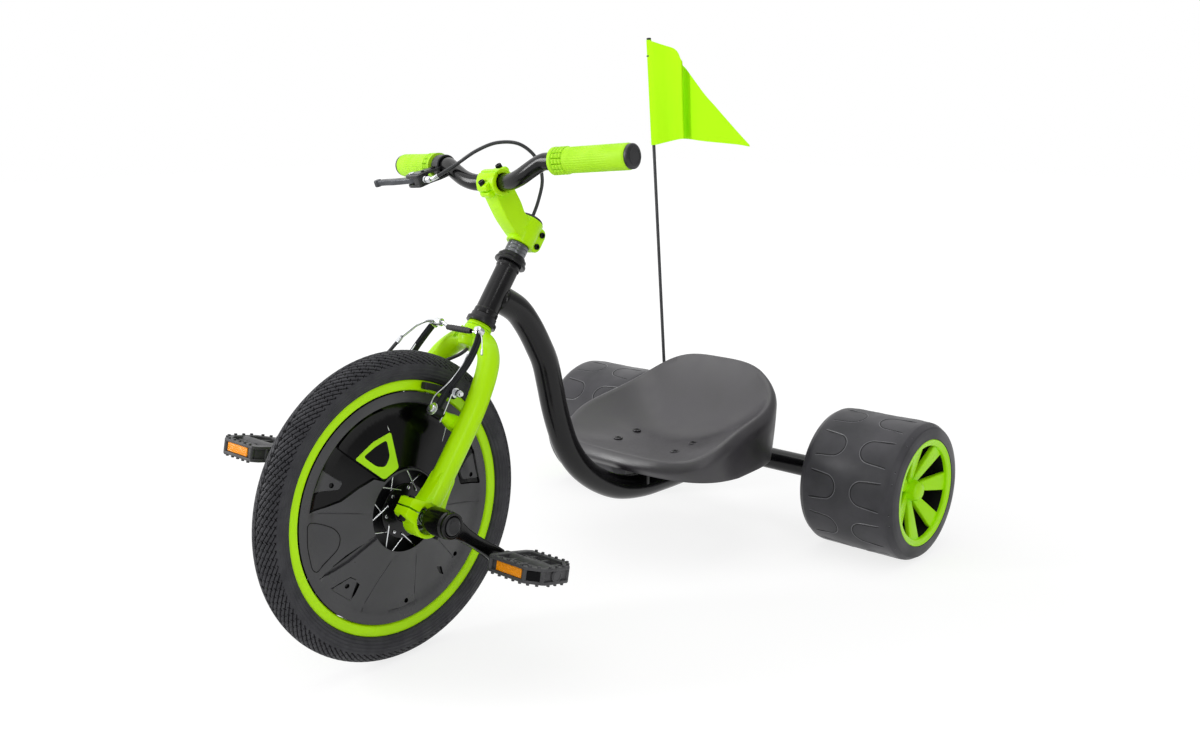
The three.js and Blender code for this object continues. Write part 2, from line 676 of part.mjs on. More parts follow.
// Brake cable: from the lever over the bar, down the hollow steerer, round to the noodle
const inCockpit = (point) => point.applyAxisAngle(vec(0, 0, 1), -stemTurn);
const cableRoute = [
  at(-94.8, 109, 421), at(-88, 108.5, 425), at(-66, 103.5, 447), at(-38, 101, 471), at(-14, 93, 488),
  at(3, 73, 499), at(9, 42, 497), at(8, 18, 480), at(3, 5, 455), at(0, 0, 434),
].map(inCockpit).concat([
  at(0, 0, 420), at(0, 0, 370), at(0, 0, 320), at(0, 0, 270), at(0, 0, 244), at(-2, 0, 229),
  at(-8, 1, 219), at(-18, 4, 209), at(-27, 10, 198), at(-32, 20, 187), at(-34, 36, 173),
  at(-36, 56, 156), at(-41, 73, 136), at(-50, 83, 117), at(-62, 86, 107), at(-73, 83, 113),
  at(-77, 78, 131), at(-71, 73, 153), at(-61, 70, 172), at(-55.5, 68, 190), at(-54, 65.8, 202.6),
]);
const cableSides = 8;
const cableSteps = 64;
piece('brake_cable', bentTube(cableRoute, cableRadius, cableSides, cableSteps), blackRubber, steering);

// Front wheel on the front axle, turned about X
const frontWheel = new THREE.Group();
frontWheel.position.set(0, 0, frontTyreRadius);
trike.add(frontWheel);

const tyreHalfWidth = 22;
const tyreWall = 4;
const wheelSides = 28;
const rearSides = 24;
const tyreInnerSteps = 4;
const rimRadius = 164.4;
const rimHalfWidth = 14.4;
const rimFaceInner = 152.2;
const rimWellRadius = 157;
const rimWellHalf = 10;
const rimFlange = 2.2;
const rimBore = 150;
const tyreArcSteps = 6;
const tyreArc = THREE.MathUtils.degToRad(132);
const tyreInnerArc = THREE.MathUtils.degToRad(105);
const tyreDeep = 21;
const tyreMiddle = frontTyreRadius - tyreDeep;

function tyreProfile() {
  const points = [];
  for (let i = 0; i <= tyreArcSteps; i++) {
    const turn = tyreArc * ((2 * i) / tyreArcSteps - 1);
    points.push([tyreMiddle + tyreDeep * Math.cos(turn), tyreHalfWidth * Math.sin(turn)]);
  }
  const lip = rimHalfWidth - rimFlange - fit;
  points.push([rimRadius + fit, lip], [rimWellRadius + fit * 2, rimWellHalf - fit]);
  points.push([rimWellRadius + fit * 2, rimWellHalf - tyreWall]);
  points.push([rimRadius + fit, rimWellHalf - tyreWall / 2]);
  for (let i = tyreInnerSteps; i >= 0; i--) {
    const turn = tyreInnerArc * ((2 * i) / tyreInnerSteps - 1);
    points.push([tyreMiddle + (tyreDeep - tyreWall) * Math.cos(turn),
      (tyreHalfWidth - tyreWall) * Math.sin(turn)]);
  }
  points.push([rimRadius + fit, tyreWall / 2 - rimWellHalf]);
  points.push([rimWellRadius + fit * 2, tyreWall - rimWellHalf]);
  points.push([rimWellRadius + fit * 2, fit - rimWellHalf], [rimRadius + fit, -lip]);
  return points;
}
piece('front_tyre', wheelTurned(tyreProfile(), wheelSides), blackRubber, frontWheel);

const tubeRadius = 16.2;
const tubeSides = 7;
piece('front_inner_tube', wheelTurned(ringOutline(tubeRadius, tubeSides).map(([up, side]) =>
  [tyreMiddle + up, side]), wheelSides), blackRubber, frontWheel);

piece('front_rim', wheelTurned([
  [rimRadius, -rimHalfWidth], [rimRadius, rimFlange - rimHalfWidth], [rimWellRadius, -rimWellHalf],
  [rimWellRadius, rimWellHalf], [rimRadius, rimHalfWidth - rimFlange], [rimRadius, rimHalfWidth],
  [rimFaceInner, rimHalfWidth], [rimBore, rimWellHalf], [rimBore, -rimWellHalf],
  [rimFaceInner, -rimHalfWidth],
], wheelSides), limePaint, frontWheel);

// Hub: barrel and two riveted flanges, with the spokes hooked in behind them
const hubBarrel = 15;
const flangeRadius = 35;
const flangeOuter = 24;
const flangeInner = 21;
const hubHalf = 42;
piece('front_hub', wheelTurned([
  [spindleRadius + fit, -hubHalf], [hubBarrel, -hubHalf], [hubBarrel, -flangeOuter],
  [flangeRadius, -flangeOuter], [flangeRadius, -flangeInner], [hubBarrel, -flangeInner],
  [hubBarrel, flangeInner], [flangeRadius, flangeInner], [flangeRadius, flangeOuter],
  [hubBarrel, flangeOuter], [hubBarrel, hubHalf], [spindleRadius + fit, hubHalf],
], roundSides), blackPaint, frontWheel);

const spokeCount = 14;
const spokeRadius = 1.2;
const spokeHookX = 18.2;
const spokeHookRadius = 30;
const spokeRingWidth = 4.4;
const spokeRimX = 3.5;
const spokeStagger = 1.35;
const spokeReach = rimBore - 1.2;
const spokeSweep = THREE.MathUtils.degToRad(48);
const spokeBody = 4;
function spokes(side) {
  const ring = wheelTurned([
    [hubBarrel + fit * 2, spokeHookX - spokeRingWidth / 2],
    [spokeHookRadius, spokeHookX - spokeRingWidth / 2],
    [spokeHookRadius, spokeHookX + spokeRingWidth / 2],
    [hubBarrel + fit * 2, spokeHookX + spokeRingWidth / 2],
  ], roundSides);
  const parts = [ring];
  for (let i = 0; i < spokeCount; i++) {
    const lead = i % 2 === 0 ? spokeSweep : -spokeSweep;
    const start = (2 * Math.PI * (i + (side > 0 ? 0 : 0.5))) / spokeCount;
    const end = start + lead;
    const hook = spokeHookRadius - spokeRadius * 2;
    const layer = Math.sign(lead) * spokeStagger;
    parts.push(rod(spokeRadius,
      vec(spokeHookX + layer, hook * Math.cos(start), hook * Math.sin(start)),
      vec(spokeRimX + layer, spokeReach * Math.cos(end), spokeReach * Math.sin(end)), spokeBody));
  }
  return mirrored(joined(...parts), side);
}
for (const [word, side] of both) piece(`front_spokes_${word}`, spokes(side), brightSteel, frontWheel);

// Wheel covers: thin dished discs that clip inside the rim
const coverRadius = 149.3;
const coverEdgeX = 10.6;
const coverWall = 2.4;
const coverFlatRadius = 128;
const coverStep = 3;
const coverHole = 52;
const coverHoleX = 24.2;
for (const [word, side] of both) {
  piece(`wheel_cover_${word}`, mirrored(wheelTurned([
    [coverRadius, coverEdgeX], [coverRadius, coverEdgeX + coverWall],
    [coverFlatRadius, coverEdgeX + coverWall + coverStep / 2],
    [coverFlatRadius - coverStep, coverEdgeX + coverWall - coverStep / 2],
    [coverHole, coverHoleX + coverWall], [coverHole, coverHoleX],
    [coverFlatRadius - coverStep, coverEdgeX - coverStep / 2],
    [coverFlatRadius, coverEdgeX + coverStep / 2],
  ], wheelSides), side), blackPlastic, frontWheel);
}

// Spindle through hub and bearings, cranks on its ends, pedals on their axles
const crankBossInner = 76;
const crankBossOuter = 115;
const crankBossRadius = 17.5;
const crankArmRadius = 9.5;
const crankRootRadius = 12.5;
const crankLength = 98;
const crankArmOuter = 113;
const crankArmThick = 13;
const crankEndRadius = 11.5;
const crankTurn = THREE.MathUtils.degToRad(38.3);
const spindleHalf = 111;
piece('crank_spindle', wheelTurned([
  [0, -spindleHalf], [spindleRadius, -spindleHalf], [spindleRadius, spindleHalf], [0, spindleHalf],
], roundSides), brightSteel, frontWheel);

const pedalAxleRadius = 5.5;
const pedalAxleStart = 102;
const pedalInner = 124;
const pedalOuter = 214;
const pedalLong = 78;
const pedalThick = 22;
const pedalBarThick = 11;
const pedalPlate = 9;
const pedalCore = 11;
const pedalTilt = THREE.MathUtils.degToRad(12);
const pedalRibs = 3;
const pedalRibThick = 5;

function crank(side) {
  const boss = rod(crankBossRadius, vec(crankBossInner, 0, 0), vec(crankBossOuter, 0, 0), roundSides);
  const armStart = crankArmOuter - crankArmThick;
  const end = rod(crankEndRadius, vec(armStart, crankLength, 0), vec(crankArmOuter, crankLength, 0),
    roundSides);
  const web = sidePlate([
    [0, -crankRootRadius], [crankLength, -crankArmRadius], [crankLength, crankArmRadius],
    [0, crankRootRadius],
  ], crankArmThick, armStart + crankArmThick / 2);
  const spindleHole = rod(spindleRadius + fit, vec(crankBossInner - overrun, 0, 0),
    vec(spindleHalf + fit, 0, 0), roundSides);
  const pedalHole = rod(pedalAxleRadius + fit, vec(pedalAxleStart - fit, crankLength, 0),
    vec(crankArmOuter + overrun, crankLength, 0), smallSides);
  const whole = cut(joined(boss, end, web), spindleHole, pedalHole);
  if (side > 0) return whole;
  return facingOut(whole.scale(-1, -1, 1));
}

function pedalBody(side) {
  const middle = (pedalInner + pedalOuter) / 2;
  const width = pedalOuter - pedalInner;
  const parts = [
    rod(pedalCore, vec(pedalInner, 0, 0), vec(pedalOuter - pedalPlate, 0, 0), legSides),
    box(middle, pedalLong / 2 - pedalBarThick / 2, 0, width, pedalBarThick, pedalThick),
    box(middle, pedalBarThick / 2 - pedalLong / 2, 0, width, pedalBarThick, pedalThick),
    box(pedalInner + pedalPlate / 2, 0, 0, pedalPlate, pedalLong, pedalThick),
    box(pedalOuter - pedalPlate / 2, 0, 0, pedalPlate, pedalLong, pedalThick),
  ];
  for (let i = 1; i <= pedalRibs; i++) {
    const x = pedalInner + (width * i) / (pedalRibs + 1);
    parts.push(box(x, 0, 0, pedalRibThick, pedalLong - pedalBarThick, pedalThick * 0.7));
  }
  const axleHole = rod(pedalAxleRadius + fit, vec(pedalInner - overrun, 0, 0),
    vec(pedalOuter - pedalPlate / 2 + fit, 0, 0), smallSides);
  return mirrored(cut(joined(...parts), axleHole), side);
}

const crankPlace = new THREE.Group();
crankPlace.rotation.x = -crankTurn;
frontWheel.add(crankPlace);
for (const [word, side] of both) {
  piece(`crank_${word}`, crank(side), blackPaint, crankPlace);
  const pedalPlace = new THREE.Group();
  pedalPlace.position.set(0, side * crankLength, 0);
  pedalPlace.rotation.x = crankTurn - pedalTilt;
  crankPlace.add(pedalPlace);
  piece(`pedal_axle_${word}`, mirrored(wheelTurned([
    [0, pedalAxleStart], [pedalAxleRadius, pedalAxleStart],
    [pedalAxleRadius, pedalOuter - pedalPlate / 2], [0, pedalOuter - pedalPlate / 2],
  ], smallSides), side), brightSteel, pedalPlace);
  piece(`pedal_${word}`, pedalBody(side), greyPlastic, pedalPlace);
}

// Rear axle rod with two collars; wheels, bearings and nuts on its ends
const rearAxle = new THREE.Group();
rearAxle.position.set(0, wheelbase, rearTyreRadius);
trike.add(rearAxle);
const rearShoulder = 15.6;
const rearTyreBore = 84;
const rearRimRadius = 80;
const rearBarrelWall = 5;
const rearFaceInset = 4;
const rearHubRadius = 17;
const rearBearingRadius = 14;
const rearBearingWidth = 8;
const rearHubBore = 11;
const rearHubGap = 7;
const rearTyreGap = 8.5;
const rearHubInset = 18;
const axleEndInset = 6;
const rearHubInner = axleTubeHalf + rearHubGap;
const rearHubOuter = rearHalfTrack - rearHubInset;
const axleEnd = rearHalfTrack - axleEndInset;
const collarRadius = 9.5;
const nutRadius = 10;
const nutWidth = 8;
const nutSides = 6;
const shoulderSteps = 3;
const spokeFins = 7;
const finWidth = 19;
const finDeep = 22;
const finDish = 16;
const rearInner = axleTubeHalf + rearTyreGap;

const collarStart = axleTubeHalf + fit;
const collarEnd = rearHubInner - fit * 2;
piece('rear_axle', wheelTurned([
  [0, -axleEnd], [axleRodRadius, -axleEnd], [axleRodRadius, -collarEnd], [collarRadius, -collarEnd],
  [collarRadius, -collarStart], [axleRodRadius, -collarStart], [axleRodRadius, collarStart],
  [collarRadius, collarStart], [collarRadius, collarEnd], [axleRodRadius, collarEnd],
  [axleRodRadius, axleEnd], [0, axleEnd],
], smallSides), brightSteel, rearAxle);

function rearTyre() {
  const points = [];
  for (const [face, order] of [[rearInner, -1], [rearHalfTrack, 1]]) {
    for (let i = 0; i <= shoulderSteps; i++) {
      const share = order < 0 ? i / shoulderSteps : 1 - i / shoulderSteps;
      const turn = (Math.PI / 2) * share;
      points.push([rearTyreRadius - rearShoulder * (1 - Math.sin(turn)),
        face - order * rearShoulder * (1 - Math.cos(turn))]);
    }
  }
  points.push([rearTyreBore, rearHalfTrack], [rearTyreBore, rearInner]);
  return points;
}

function rearWheel() {
  const outer = rearTyreBore - fit;
  const bore = outer - rearBarrelWall;
  const start = rearInner + rearFaceInset;
  const end = rearHalfTrack - rearFaceInset / 2;
  const barrel = wheelTurned([[outer, start], [outer, end], [bore - rearBarrelWall, end],
    [bore - rearBarrelWall, end - finDeep], [bore, end - 2 * finDeep], [bore, start]], rearSides);
  const hub = rod(rearHubRadius, vec(rearHubInner, 0, 0), vec(rearHubOuter, 0, 0), roundSides);
  const parts = [barrel, hub];
  const rim = bore - rearBarrelWall / 2;
  // Each spoke runs from the hub at one end to the barrel's rim at the same end
  const spokeEnds = [
    [rearHubOuter, end - rearFaceInset, -1], [rearHubInner + finDish, start + finDish, 1],
  ];
  for (const [hubX, rimX, inward] of spokeEnds) {
    for (let i = 0; i < spokeFins; i++) {
      const fin = sidePlate([[0, -hubX], [rim, -rimX], [rim, -rimX - inward * finDeep],
        [0, -hubX - inward * finDeep]], finWidth, 0);
      parts.push(fin.rotateY(-Math.PI / 2).rotateX((2 * Math.PI * i) / spokeFins));
    }
  }
  const hole = (radius, from, to) => rod(radius, vec(from, 0, 0), vec(to, 0, 0), smallSides);
  const seat = rearBearingRadius + fit;
  return cut(joined(...parts),
    hole(seat, rearHubInner - overrun, rearHubInner + rearBearingWidth + fit),
    hole(seat, rearHubOuter - rearBearingWidth - fit, rearHubOuter + overrun),
    hole(rearHubBore, rearHubInner, rearHubOuter));
}

for (const [word, side] of both) {
  piece(`rear_tyre_${word}`, mirrored(wheelTurned(rearTyre(), rearSides), side), blackRubber, rearAxle);
  piece(`rear_wheel_${word}`, mirrored(rearWheel(), side), limePlastic, rearAxle);
  for (const [end, start] of [['inner', rearHubInner], ['outer', rearHubOuter - rearBearingWidth]]) {
    piece(`rear_bearing_${word}_${end}`, mirrored(wheelTurned([
      [axleRodRadius + fit, start], [rearBearingRadius, start],
      [rearBearingRadius, start + rearBearingWidth], [axleRodRadius + fit, start + rearBearingWidth],
    ], smallSides), side), brightSteel, rearAxle);
  }
  const nutStart = rearHubOuter + fit * 2;
  const nut = rod(nutRadius, vec(nutStart, 0, 0), vec(nutStart + nutWidth, 0, 0), nutSides);
  const nutHole = rod(axleRodRadius + fit, vec(nutStart - overrun, 0, 0),
    vec(nutStart + nutWidth + overrun, 0, 0), smallSides);
  piece(`rear_axle_nut_${word}`, mirrored(cut(nut, nutHole), side), brightSteel, rearAxle);
}

// Seat: a moulded bowl with a rolled rim and a skirt, screwed to the bracket
const seatHalfWidth = 146;
const seatOverhang = 42;
const seatLength = 258;
const seatFront = seatBracketFront - seatOverhang;
const seatFrontUp = 173.5;
const seatBackUp = 281;
const seatSideUp = 36;
const seatSkirtFront = 150;
const seatSkirtDrop = 8.5;
const seatSkirtOut = 2;
const seatRollOut = 9;
const seatRollDrop = 16;
const seatSquare = 0.57;
const seatTaper = 0.12;
const seatWidestShare = 0.6;
const seatCentreShare = 0.4;
const seatAround = 28;
const seatRings = 4;
const bowlShape = 2.4;
const rimRoll = 4;
const lipDrop = 6;

function seatRim(turn) {
  const [c, s] = [Math.cos(turn), Math.sin(turn)];
  const back = (1 - Math.sign(c) * Math.abs(c) ** seatSquare) / 2;
  const half = seatHalfWidth * (1 - seatTaper * (back - seatWidestShare));
  const share = Math.sign(s) * Math.abs(s) ** seatSquare;
  const side = (Math.abs(share * half) / seatHalfWidth) ** 2;
  const rise = (seatBackUp - seatFrontUp) * back ** 4 + seatSideUp * Math.sin(Math.PI * back) * side;
  return vec(half * share, seatFront + seatLength * back, seatFrontUp + rise);
}

function seatShell() {
  const centre = vec(0, seatFront + seatLength * seatCentreShare, 0);
  const rows = [];
  const row = (make) => {
    const points = [];
    for (let i = 0; i < seatAround; i++) {
      const rim = seatRim((2 * Math.PI * i) / seatAround);
      const away = vec(rim.x - centre.x, rim.y - centre.y, 0);
      points.push(make(rim, away));
    }
    rows.push(points);
  };
  const inward = (rim, away, distance, up) => {
    const share = 1 - distance / away.length();
    return vec(centre.x + away.x * share, centre.y + away.y * share, up);
  };
  const bowl = (rim, away, share, drop) => {
    const shorter = (away.length() - rimRoll) / away.length();
    const up = seatFloorUp + (rim.z - seatFloorUp) * share ** bowlShape - drop;
    return vec(centre.x + away.x * share * shorter, centre.y + away.y * share * shorter, up);
  };
  for (let i = 1; i <= seatRings; i++) row((rim, away) => bowl(rim, away, i / seatRings, 0));
  const base = (rim) => {
    const back = Math.min(1, (rim.y - seatFront) / seatLength / seatCentreShare);
    return seatSkirtFront - seatSkirtDrop * back;
  };
  row((rim, away) => inward(rim, away, 0, rim.z));
  row((rim, away) => inward(rim, away, -seatRollOut * 0.75, rim.z - lipDrop));
  row((rim, away) => inward(rim, away, -seatRollOut, rim.z - seatRollDrop));
  row((rim, away) => inward(rim, away, -seatSkirtOut, base(rim)));
  row((rim, away) => inward(rim, away, seatWall - seatSkirtOut, base(rim)));
  row((rim, away) => inward(rim, away, seatWall - seatRollOut, rim.z - seatRollDrop));
  row((rim, away) => inward(rim, away, rimRoll, rim.z - lipDrop - rimRoll / 2));
  for (let i = seatRings - 1; i >= 1; i--) {
    row((rim, away) => bowl(rim, away, i / seatRings * 0.97, seatWall));
  }
  const points = rows.flat();
  const index = [];
  for (let r = 0; r < rows.length - 1; r++) {
    for (let i = 0; i < seatAround; i++) {
      const [a, b] = [r * seatAround + i, r * seatAround + ((i + 1) % seatAround)];
      index.push(a, b, b + seatAround, a, b + seatAround, a + seatAround);
    }
  }
  const [top, bottom] = [points.length, points.length + 1];
  points.push(vec(centre.x, centre.y, seatFloorUp), vec(centre.x, centre.y, seatFloorUp - seatWall));
  const last = (rows.length - 1) * seatAround;
  for (let i = 0; i < seatAround; i++) {
    const next = (i + 1) % seatAround;
    index.push(top, next, i, bottom, last + i, last + next);
  }
  const geometry = new THREE.BufferGeometry().setFromPoints(points);
  geometry.setIndex(index);
  geometry.computeVertexNormals();
  return facingOut(geometry);
}
piece('seat', seatShell(), blackPlastic, trike);

// Flag pole in a clamp on the axle tube, leaning a little, and its pennant
const poleInset = 29.4;
const poleX = poleInset - axleTubeHalf;
const poleLean = THREE.MathUtils.degToRad(3.923);
const poleRadius = 2.8;
const poleSides = 10;
const poleTop = 798;
const clampRing = 5;
const clampRingWidth = 22;
const socketRadius = 7;
const socketHeight = 30;
const poleSeat = 2;
const poleFoot = rearTyreRadius + axleTubeRadius + clampRing;
const poleLine = (up) => vec(poleX - Math.tan(poleLean) * (up - poleFoot), wheelbase, up);
piece('flag_pole', rod(poleRadius, poleLine(poleFoot + poleSeat), poleLine(poleTop), poleSides),
  blackPlastic, trike);
function poleClamp() {
  const ring = rod(axleTubeRadius + clampRing, vec(poleX - clampRingWidth / 2, wheelbase, rearTyreRadius),
    vec(poleX + clampRingWidth / 2, wheelbase, rearTyreRadius), fineSides);
  const socket = rod(socketRadius, poleLine(poleFoot - clampRing / 2), poleLine(poleFoot + socketHeight),
    legSides);
  const tubeHole = rod(axleTubeRadius + fit, vec(poleX - clampRingWidth, wheelbase, rearTyreRadius),
    vec(poleX + clampRingWidth, wheelbase, rearTyreRadius), fineSides);
  const poleHole = rod(poleRadius + fit, poleLine(poleFoot + poleSeat - fit),
    poleLine(poleFoot + socketHeight + overrun), poleSides);
  return cut(joined(ring, socket), tubeHole, poleHole);
}
piece('flag_pole_clamp', poleClamp(), blackPlastic, trike);

const flagTop = 794.5;
const flagFoot = 619.3;
const flagReach = 205;
const flagThick = 1.6;
const flagFold = 6;
const flagWaves = 1.4;
const flagRows = 4;
const sleeveRadius = 4.6;
// Columns of the cloth: shares of its reach, and of its height for its lower and upper edge there
const flagShares = [
  [0, 0, 1], [0.1, 0.038, 0.954], [0.19, 0.07, 0.906], [0.26, 0.07, 0.866], [0.36, 0.064, 0.695],
  [0.45, 0.057, 0.598], [0.56, 0.049, 0.483], [0.68, 0.041, 0.358], [0.8, 0.033, 0.232],
  [0.9, 0.026, 0.127], [1, 0.013, 0.027],
];

function flagCloth() {
  const grid = [];
  for (const face of [1, -1]) {
    for (const [out, low, high] of flagShares) {
      for (let j = 0; j <= flagRows; j++) {
        const up = THREE.MathUtils.lerp(flagFoot, flagTop, low + ((high - low) * j) / flagRows);
        const wave = Math.sin(2 * Math.PI * flagWaves * out + j / flagRows);
        const fold = flagFold * wave * Math.min(1, out * 4);
        const root = poleLine(up);
        grid.push(vec(root.x + (flagReach - sleeveRadius) * out + sleeveRadius / 2,
          wheelbase + fold + (face * flagThick) / 2, up));
      }
    }
  }
  const columns = flagShares.length - 1;
  const across = flagRows + 1;
  const layer = flagShares.length * across;
  const index = [];
  const quad = (a, b, c, d) => index.push(a, b, c, a, c, d);
  for (let i = 0; i < columns; i++) {
    for (let j = 0; j < flagRows; j++) {
      const a = i * across + j;
      quad(a, a + across, a + across + 1, a + 1);
      quad(a + layer, a + 1 + layer, a + across + 1 + layer, a + across + layer);
    }
    const [low, high] = [i * across, i * across + flagRows];
    quad(low, low + layer, low + across + layer, low + across);
    quad(high, high + across, high + across + layer, high + layer);
  }
  for (let j = 0; j < flagRows; j++) {
    const end = columns * across + j;
    quad(j, j + 1, j + 1 + layer, j + layer);
    quad(end, end + layer, end + 1 + layer, end + 1);
  }
  const sheet = new THREE.BufferGeometry().setFromPoints(grid);
  sheet.setIndex(index);
  const sleeve = rod(sleeveRadius, poleLine(flagFoot), poleLine(flagTop), poleSides);
  const hole = rod(poleRadius + fit, poleLine(flagFoot - overrun), poleLine(flagTop + overrun), poleSides);
  return cut(joined(sheet, sleeve), hole);
}
piece('flag', flagCloth(), limeCloth, trike);

// The origin goes to the middle of the footprint, on the ground
trike.updateMatrixWorld(true);
const bounds = new THREE.Box3().setFromObject(trike, true);
const shift = bounds.getCenter(vec(0, 0, 0)).negate();
trike.position.set(shift.x, shift.y, -bounds.min.z);
trike.updateMatrixWorld(true);

export default trike;
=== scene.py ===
import math

import bmesh
import bpy
from mathutils import Matrix, Vector
from mathutils.geometry import delaunay_2d_cdt


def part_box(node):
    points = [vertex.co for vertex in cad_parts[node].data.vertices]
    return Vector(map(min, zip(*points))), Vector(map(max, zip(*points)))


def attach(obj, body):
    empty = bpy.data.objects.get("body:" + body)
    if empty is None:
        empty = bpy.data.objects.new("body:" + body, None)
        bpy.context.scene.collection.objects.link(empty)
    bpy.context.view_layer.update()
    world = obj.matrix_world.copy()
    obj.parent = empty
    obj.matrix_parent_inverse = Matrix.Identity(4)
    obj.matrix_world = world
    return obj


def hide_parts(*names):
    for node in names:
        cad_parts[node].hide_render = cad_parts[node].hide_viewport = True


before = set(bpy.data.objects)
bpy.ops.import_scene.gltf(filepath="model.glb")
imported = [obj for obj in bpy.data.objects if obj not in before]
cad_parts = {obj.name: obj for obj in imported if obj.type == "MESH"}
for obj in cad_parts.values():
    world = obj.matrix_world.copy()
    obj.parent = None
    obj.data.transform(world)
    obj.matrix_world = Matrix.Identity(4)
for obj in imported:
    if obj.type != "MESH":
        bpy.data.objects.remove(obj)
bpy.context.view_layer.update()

# Camera: stands ahead and to the left of the trike, at the photograph's angle and height. A
# direction from the trike to the camera and a small roll give its three axes.
camera_place = Vector((1.1921, -1.2603, 0.7128))
azimuth = math.radians(41.9053)
elevation = math.radians(13.0850)
roll = math.radians(-0.2900)
backward = Vector((math.sin(azimuth) * math.cos(elevation),
                   -math.cos(azimuth) * math.cos(elevation), math.sin(elevation)))
level = Vector((math.cos(azimuth), math.sin(azimuth), 0))
upright = backward.cross(level)
right = level * math.cos(roll) + upright * math.sin(roll)
upward = upright * math.cos(roll) - level * math.sin(roll)
camera = bpy.data.objects.new("camera", bpy.data.cameras.new("camera"))
camera.data.sensor_width = 36
camera.data.lens = 37.157
camera.matrix_world = Matrix.Translation(camera_place) @ Matrix(
    (right, upward, backward)).transposed().to_4x4()
bpy.context.collection.objects.link(camera)
bpy.context.scene.camera = camera
bpy.context.scene.view_settings.view_transform = "Standard"

# Brake cable: a steel wire in a black plastic housing. It arches from the lever over the bar,
# drops through the hollow steerer and loops round to the brake, with a metal ferrule on each end.
# Every size is in mm, and scale turns it to metres. The wheels' places come from the frame.
to_metres = 0.001
scale = Matrix.Scale(to_metres, 4)
hub_low, hub_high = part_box("front_rim")
hub_place = (hub_low + hub_high) / 2 * 1000
wheel = scale @ Matrix.Translation(hub_place)
# The steering axis leans back by 3 in 4
head_tilt = math.atan2(3, 4)
steering = wheel @ Matrix.Rotation(-head_tilt, 4, "X")
stem_turn = math.radians(6)
cockpit_turn = Matrix.Rotation(-stem_turn, 4, "Z")
cockpit = steering @ cockpit_turn
cable_radius = 2.4
cable_steps = 420


def at(x, forward, up):
    """A place by its side, its distance forward of the steering axis and its height along it"""
    return Vector((x, -forward, up))


def linear(hex_colour):
    values = [int(hex_colour[i:i + 2], 16) / 255 for i in (1, 3, 5)]
    return [v / 12.92 if v <= 0.04045 else ((v + 0.055) / 1.055) ** 2.4 for v in values] + [1.0]


def add_node(material, kind, values=None, links=None, **attributes):
    tree = material.node_tree
    node = tree.nodes.new(kind)
    for name, value in attributes.items():
        setattr(node, name, value)
    for name, value in (values or {}).items():
        node.inputs[name].default_value = value
    for name, output in (links or {}).items():
        tree.links.new(output, node.inputs[name])
    return node


def shader_socket(material, name):
    return material.node_tree.nodes["Principled BSDF"].inputs[name]


def feed(material, output, name):
    material.node_tree.links.new(output, shader_socket(material, name))


def add_grain(material, grain, depth, mottle=None, mottle_size=40.0, worn=None):
    """Bump of a grain size and depth in mm, a second colour in soft patches, and a roughness span"""
    place = add_node(material, "ShaderNodeTexCoord").outputs["Object"]
    fine = add_node(material, "ShaderNodeTexNoise", {"Scale": 1000 / grain, "Detail": 3.0},
                    {"Vector": place})
    bump = add_node(material, "ShaderNodeBump", {"Strength": 1.0, "Distance": depth * to_metres},
                    {"Height": fine.outputs["Fac"]})
    feed(material, bump.outputs["Normal"], "Normal")
    patches = add_node(material, "ShaderNodeTexNoise", {"Scale": 1000 / mottle_size, "Detail": 4.0},
                       {"Vector": place})
    if worn:
        spread = add_node(material, "ShaderNodeMapRange",
                          {"From Min": 0.35, "From Max": 0.65, "To Min": worn[0], "To Max": worn[1]},
                          {"Value": patches.outputs["Fac"]})
        feed(material, spread.outputs["Result"], "Roughness")
    if mottle:
        ramp = add_node(material, "ShaderNodeValToRGB", links={"Fac": patches.outputs["Fac"]})
        low, high = ramp.color_ramp.elements
        low.position, high.position = 0.35, 0.7
        low.color = shader_socket(material, "Base Color").default_value
        high.color = linear(mottle)
        feed(material, ramp.outputs["Color"], "Base Color")


def new_material(name, hex_colour, roughness, metallic=0.0, grain=None, specular=None, **patches):
    """A material; grain is its bump's size and depth in mm, patches go on to add_grain"""
    material = bpy.data.materials.new(name)
    material.use_nodes = True
    material.diffuse_color = linear(hex_colour)
    shader_socket(material, "Base Color").default_value = linear(hex_colour)
    shader_socket(material, "Roughness").default_value = roughness
    shader_socket(material, "Metallic").default_value = metallic
    if specular is not None:
        shader_socket(material, "Specular IOR Level").default_value = specular
    if grain:
        add_grain(material, *grain, **patches)
    return material


def smooth_route(route, steps):
    """Points on a centripetal Catmull-Rom curve through the route, evenly shared over its spans"""
    ends = [route[0] * 2 - route[1], *route, route[-1] * 2 - route[-2]]
    points = []
    for step in range(steps + 1):
        reach = step / steps * (len(route) - 1)
        span = min(int(reach), len(route) - 2)
        share = reach - span
        p0, p1, p2, p3 = ends[span:span + 4]
        t0, t1 = 0.0, max((p1 - p0).length, 1e-6) ** 0.5
        t2 = t1 + max((p2 - p1).length, 1e-6) ** 0.5
        t3 = t2 + max((p3 - p2).length, 1e-6) ** 0.5
        t = t1 + share * (t2 - t1)
        a1 = p0 * (t1 - t) / (t1 - t0) + p1 * (t - t0) / (t1 - t0)
        a2 = p1 * (t2 - t) / (t2 - t1) + p2 * (t - t1) / (t2 - t1)
        a3 = p2 * (t3 - t) / (t3 - t2) + p3 * (t - t2) / (t3 - t2)
        b1 = a1 * (t2 - t) / (t2 - t0) + a2 * (t - t0) / (t2 - t0)
        b2 = a2 * (t3 - t) / (t3 - t1) + a3 * (t - t1) / (t3 - t1)
        points.append(b1 * (t2 - t) / (t2 - t1) + b2 * (t - t1) / (t2 - t1))
    return points


